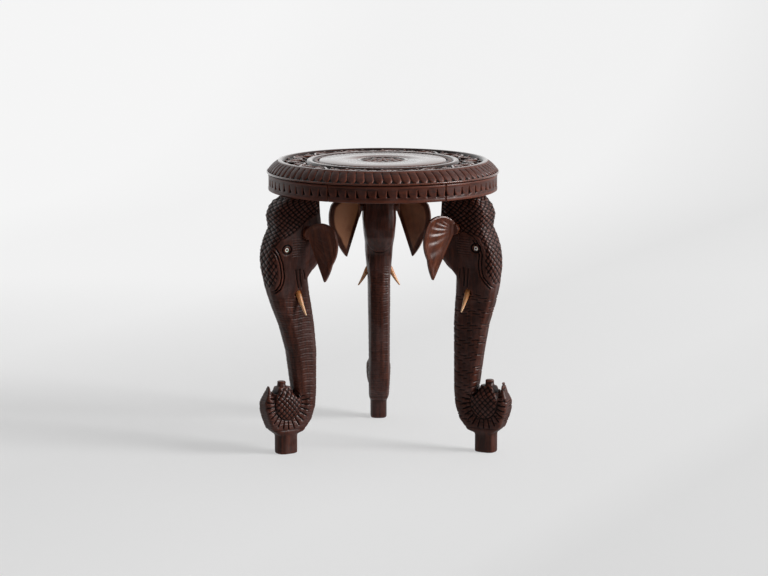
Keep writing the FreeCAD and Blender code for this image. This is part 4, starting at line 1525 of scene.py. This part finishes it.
@dataclass(frozen=True)
class Eye:
    """One eye: a turned bone ring let into the head, and a horn dot. Profiles are radius and height."""

    ring_node: str
    pupil_node: str
    stand: Stand
    ring: tuple = ((1.4, -1.2), (1.4, 1.1), (1.75, 1.45), (2.3, 1.5), (2.75, 1.2), (3.0, 0.6), (3.1, -1.2))
    dot: tuple = ((0.0, 1.45), (0.85, 1.35), (1.3, 1.1), (1.35, -1.2), (0.0, -1.2))

    def build(self) -> None:
        """Builds the ring and the dot, each turned about the sideways axis of the head."""
        low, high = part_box(self.ring_node)
        middle, side = np.array((low + high) / 2) / MM, self.stand.side
        over = np.cross(UP, side)
        turns = np.linspace(0, TURN, 28, endpoint=False)
        spokes = [math.cos(a) * UP + math.sin(a) * over for a in turns]
        for node, profile, finish, closed in (
            (self.ring_node, self.ring, EYE_FINISH, True),
            (self.pupil_node, self.dot, HORN_FINISH, False),
        ):
            rings = np.array([[middle + max(r, 0.01) * way + h * side for r, h in profile] for way in spokes])
            mesh = loft(node, rings if closed else rings.transpose(1, 0, 2), closed)
            store_grain(mesh, side, UP, 0.0)
            finished_piece(node + "_turned", mesh, node, finish)


@dataclass(frozen=True)
class Studio:
    """A white sweep, a large soft window from the right and a plain pale room."""

    floor_colour: str = "#f1f1f1"
    wall_colour: str = "#e9e9e9"
    lens: float = 129.375
    camera_at: tuple = (0.0017, -3.888, 0.850)
    camera_tilt: float = 80.81
    window_at: tuple = (4.2, -1.2, 2.2)
    window_aim: tuple = (0.0, 0.0, 0.2)
    window_size: float = 2.0
    window_power: float = 225.0
    room_front: float = 0.14
    room_back: float = 0.85
    room_left: float = 0.5
    sweep_half: float = 9.0
    sweep_height: float = 6.0
    bend_start: float = 2.6
    bend_radius: float = 1.6

    def build(self) -> None:
        """Builds the camera, the sweep, the window and the world."""
        scene = bpy.context.scene
        camera = bpy.data.cameras.new("camera")
        camera.lens = self.lens
        camera.sensor_width = 36.0
        scene.camera = new_object("camera", camera)
        scene.camera.location = self.camera_at
        scene.camera.rotation_euler = (math.radians(self.camera_tilt), 0.0, 0.0)
        self._sweep()
        lamp = bpy.data.lights.new("window", "AREA")
        lamp.shape = "SQUARE"
        lamp.size = self.window_size
        lamp.energy = self.window_power
        window = new_object("window", lamp)
        window.location = self.window_at
        aim = Vector(self.window_aim) - Vector(self.window_at)
        window.rotation_euler = aim.to_track_quat("-Z", "Y").to_euler()
        scene.world = self._world()
        scene.view_settings.view_transform = "Standard"

    def _sweep(self) -> None:
        """Makes the seamless floor and backdrop."""
        start, bend, half = self.bend_start, self.bend_radius, self.sweep_half
        turns = np.linspace(0.1, math.pi / 2, 14)
        line = [(-half, 0.0), (start, 0.0)]
        line += [(start + bend * math.sin(a), bend - bend * math.cos(a)) for a in turns]
        line.append((start + bend, self.sweep_height))
        points = [(x, y, z) for x in (-half, half) for y, z in line]
        count = len(line)
        faces = [[i, i + count, i + count + 1, i + 1] for i in range(count - 1)]
        mesh = bpy.data.meshes.new("sweep")
        mesh.from_pydata(points, [], faces)
        make_smooth(mesh)
        mesh.materials.append(self._paper())
        sweep = new_object("sweep", mesh)

    def _paper(self) -> bpy.types.Material:
        """Matt white paper with the stool's soft shadow.

        The camera and the gloss see a painted glow on it: painted light, lighter and darker by turns over the
        floor and up the backdrop. Near the dark front of the room the gloss sees less of the glow.

        Returns:
            The material.
        """
        material = bpy.data.materials.new("white paper, matt")
        add = partial(add_node, empty_tree(material))
        place = add("ShaderNodeTexCoord", output="Object")
        slant = {0: place, 1: (-2.0, 1.0, 0.0)}
        depth = add("ShaderNodeVectorMath", slant, "Value", operation="DOT_PRODUCT")
        back = add("ShaderNodeSeparateXYZ", {0: place}, "Y")
        # The slant for the painted tones, the strength of the painted glow in the gloss, and the glow's share
        # for the camera
        ranges = ((depth, -1.5, 4.8), (back, -0.6, 1.0, 0.05), (back, 0.3, 1.5, 0.58, 0.95))
        deep, lit, painted_glow_share = (add("ShaderNodeMapRange", dict(enumerate(ends))) for ends in ranges)
        # Painted light: the glow's tones, lighter and darker by turns along the slant
        shades = ((0.0, 0.675), (0.06, 0.68), (0.1, 0.77), (0.19, 0.815), (0.36, 0.775), (0.55, 0.9))
        shades += ((0.8, 0.905), (0.92, 0.94))
        stops = [(stop, grey(value)) for stop, value in shades]
        shade = add("ShaderNodeValToRGB", {0: deep}, stops=stops)
        ray = add("ShaderNodeLightPath").node.outputs
        seen = ray["Is Camera Ray"]
        glossy = {0: ray["Is Glossy Ray"], 1: ray["Is Transmission Ray"]}
        gloss = add("ShaderNodeMath", glossy, operation="MAXIMUM")
        strength = add("ShaderNodeMath", {0: seen, 1: lit}, operation="MAXIMUM")
        part = add("ShaderNodeMath", {0: seen, 1: painted_glow_share, 2: gloss}, operation="MULTIPLY_ADD")
        matt = add("ShaderNodeBsdfDiffuse", {"Color": linear(self.floor_colour)})
        # The painted glow, which the camera sees for most of the paper's colour and the gloss sees alone
        own = add("ShaderNodeEmission", {"Color": shade, "Strength": strength})
        mixed = add("ShaderNodeMixShader", {0: part, 1: matt, 2: own})
        add("ShaderNodeOutputMaterial", {"Surface": mixed})
        return material

    def _world(self) -> bpy.types.World:
        """Makes a pale wall all round to the camera, and light that is weaker from the front and the left.

        Returns:
            The world.
        """
        world = bpy.data.worlds.new("room")
        add = partial(add_node, empty_tree(world))
        place = add("ShaderNodeTexCoord", output="Generated")
        axes = add("ShaderNodeSeparateXYZ", {0: place}).node.outputs
        ranges = (
            (axes["Y"], -0.8, 0.6, self.room_front, self.room_back),
            (axes["X"], -1.0, 0.3, self.room_left),
        )
        room, shady = (add("ShaderNodeMapRange", dict(enumerate(ends))) for ends in ranges)
        light = add("ShaderNodeMath", {0: room, 1: shady}, operation="MULTIPLY")
        seen = add("ShaderNodeLightPath", output="Is Camera Ray")
        strength = add("ShaderNodeMath", {0: seen, 1: light}, operation="MAXIMUM")
        inputs = {"Color": linear(self.wall_colour), "Strength": strength}
        add("ShaderNodeOutputWorld", {"Surface": add("ShaderNodeBackground", inputs)})
        return world


@dataclass(frozen=True)
class LegPlan:
    """What hand work makes different between the legs."""

    name: str
    azimuth: float
    lean: float
    lines: Lines
    ear: Ear
    tusk: float
    seed: float
    dashes: float = 0.0
    tip_rise: float = 0.5

    def build(self) -> None:
        """Builds the leg with its ears, tusks and eyes."""
        leg = self.name + "_leg"
        stand = Stand(self.azimuth, self.lean)
        ElephantLeg(leg, stand, self.lines, self.seed, self.dashes, self.tip_rise).build()
        # Left ears get a much paler back than right ones: partly wear, partly painted light
        for hand, mirrored, back_wear_and_light in (("left", False, 1.2), ("right", True, 0.4)):
            start = f"{leg}_{hand}_"
            there = Stand(self.azimuth, self.lean, mirrored)
            self.ear.build(start + "ear", there, self.seed + 0.4 + mirrored, back_wear_and_light)
            Tusk(start + "tusk", there, self.tusk).build()
            Eye(start + "eye_ring", start + "pupil", there).build()


LEGS = (
    LegPlan("back", 92.3, 0.0, RIGHT_LINES, Ear(-8.5, 10.5, 58.0, 90.0), tusk=27.0, seed=2.2),
    LegPlan("left", 212.3, 6.5, LEFT_LINES, Ear(-3.5, 0.0, 48.5, 83.0), tusk=30.0, seed=0.5),
    LegPlan("right", 332.3, -6.5, RIGHT_LINES, Ear(3.5, 5.0, 50.5, 92.0), 27.5, 3.7, 1.0, tip_rise=4.5),
)


def main() -> None:
    """Builds the stool in its studio."""
    logging.basicConfig(level=logging.INFO, format="%(name)s: %(message)s")
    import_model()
    for part in (TableTop(), ApronRing(), *LEGS):
        part.build()
    log.info("stool finished")
    Studio().build()


if __name__ == "__main__":
    main()
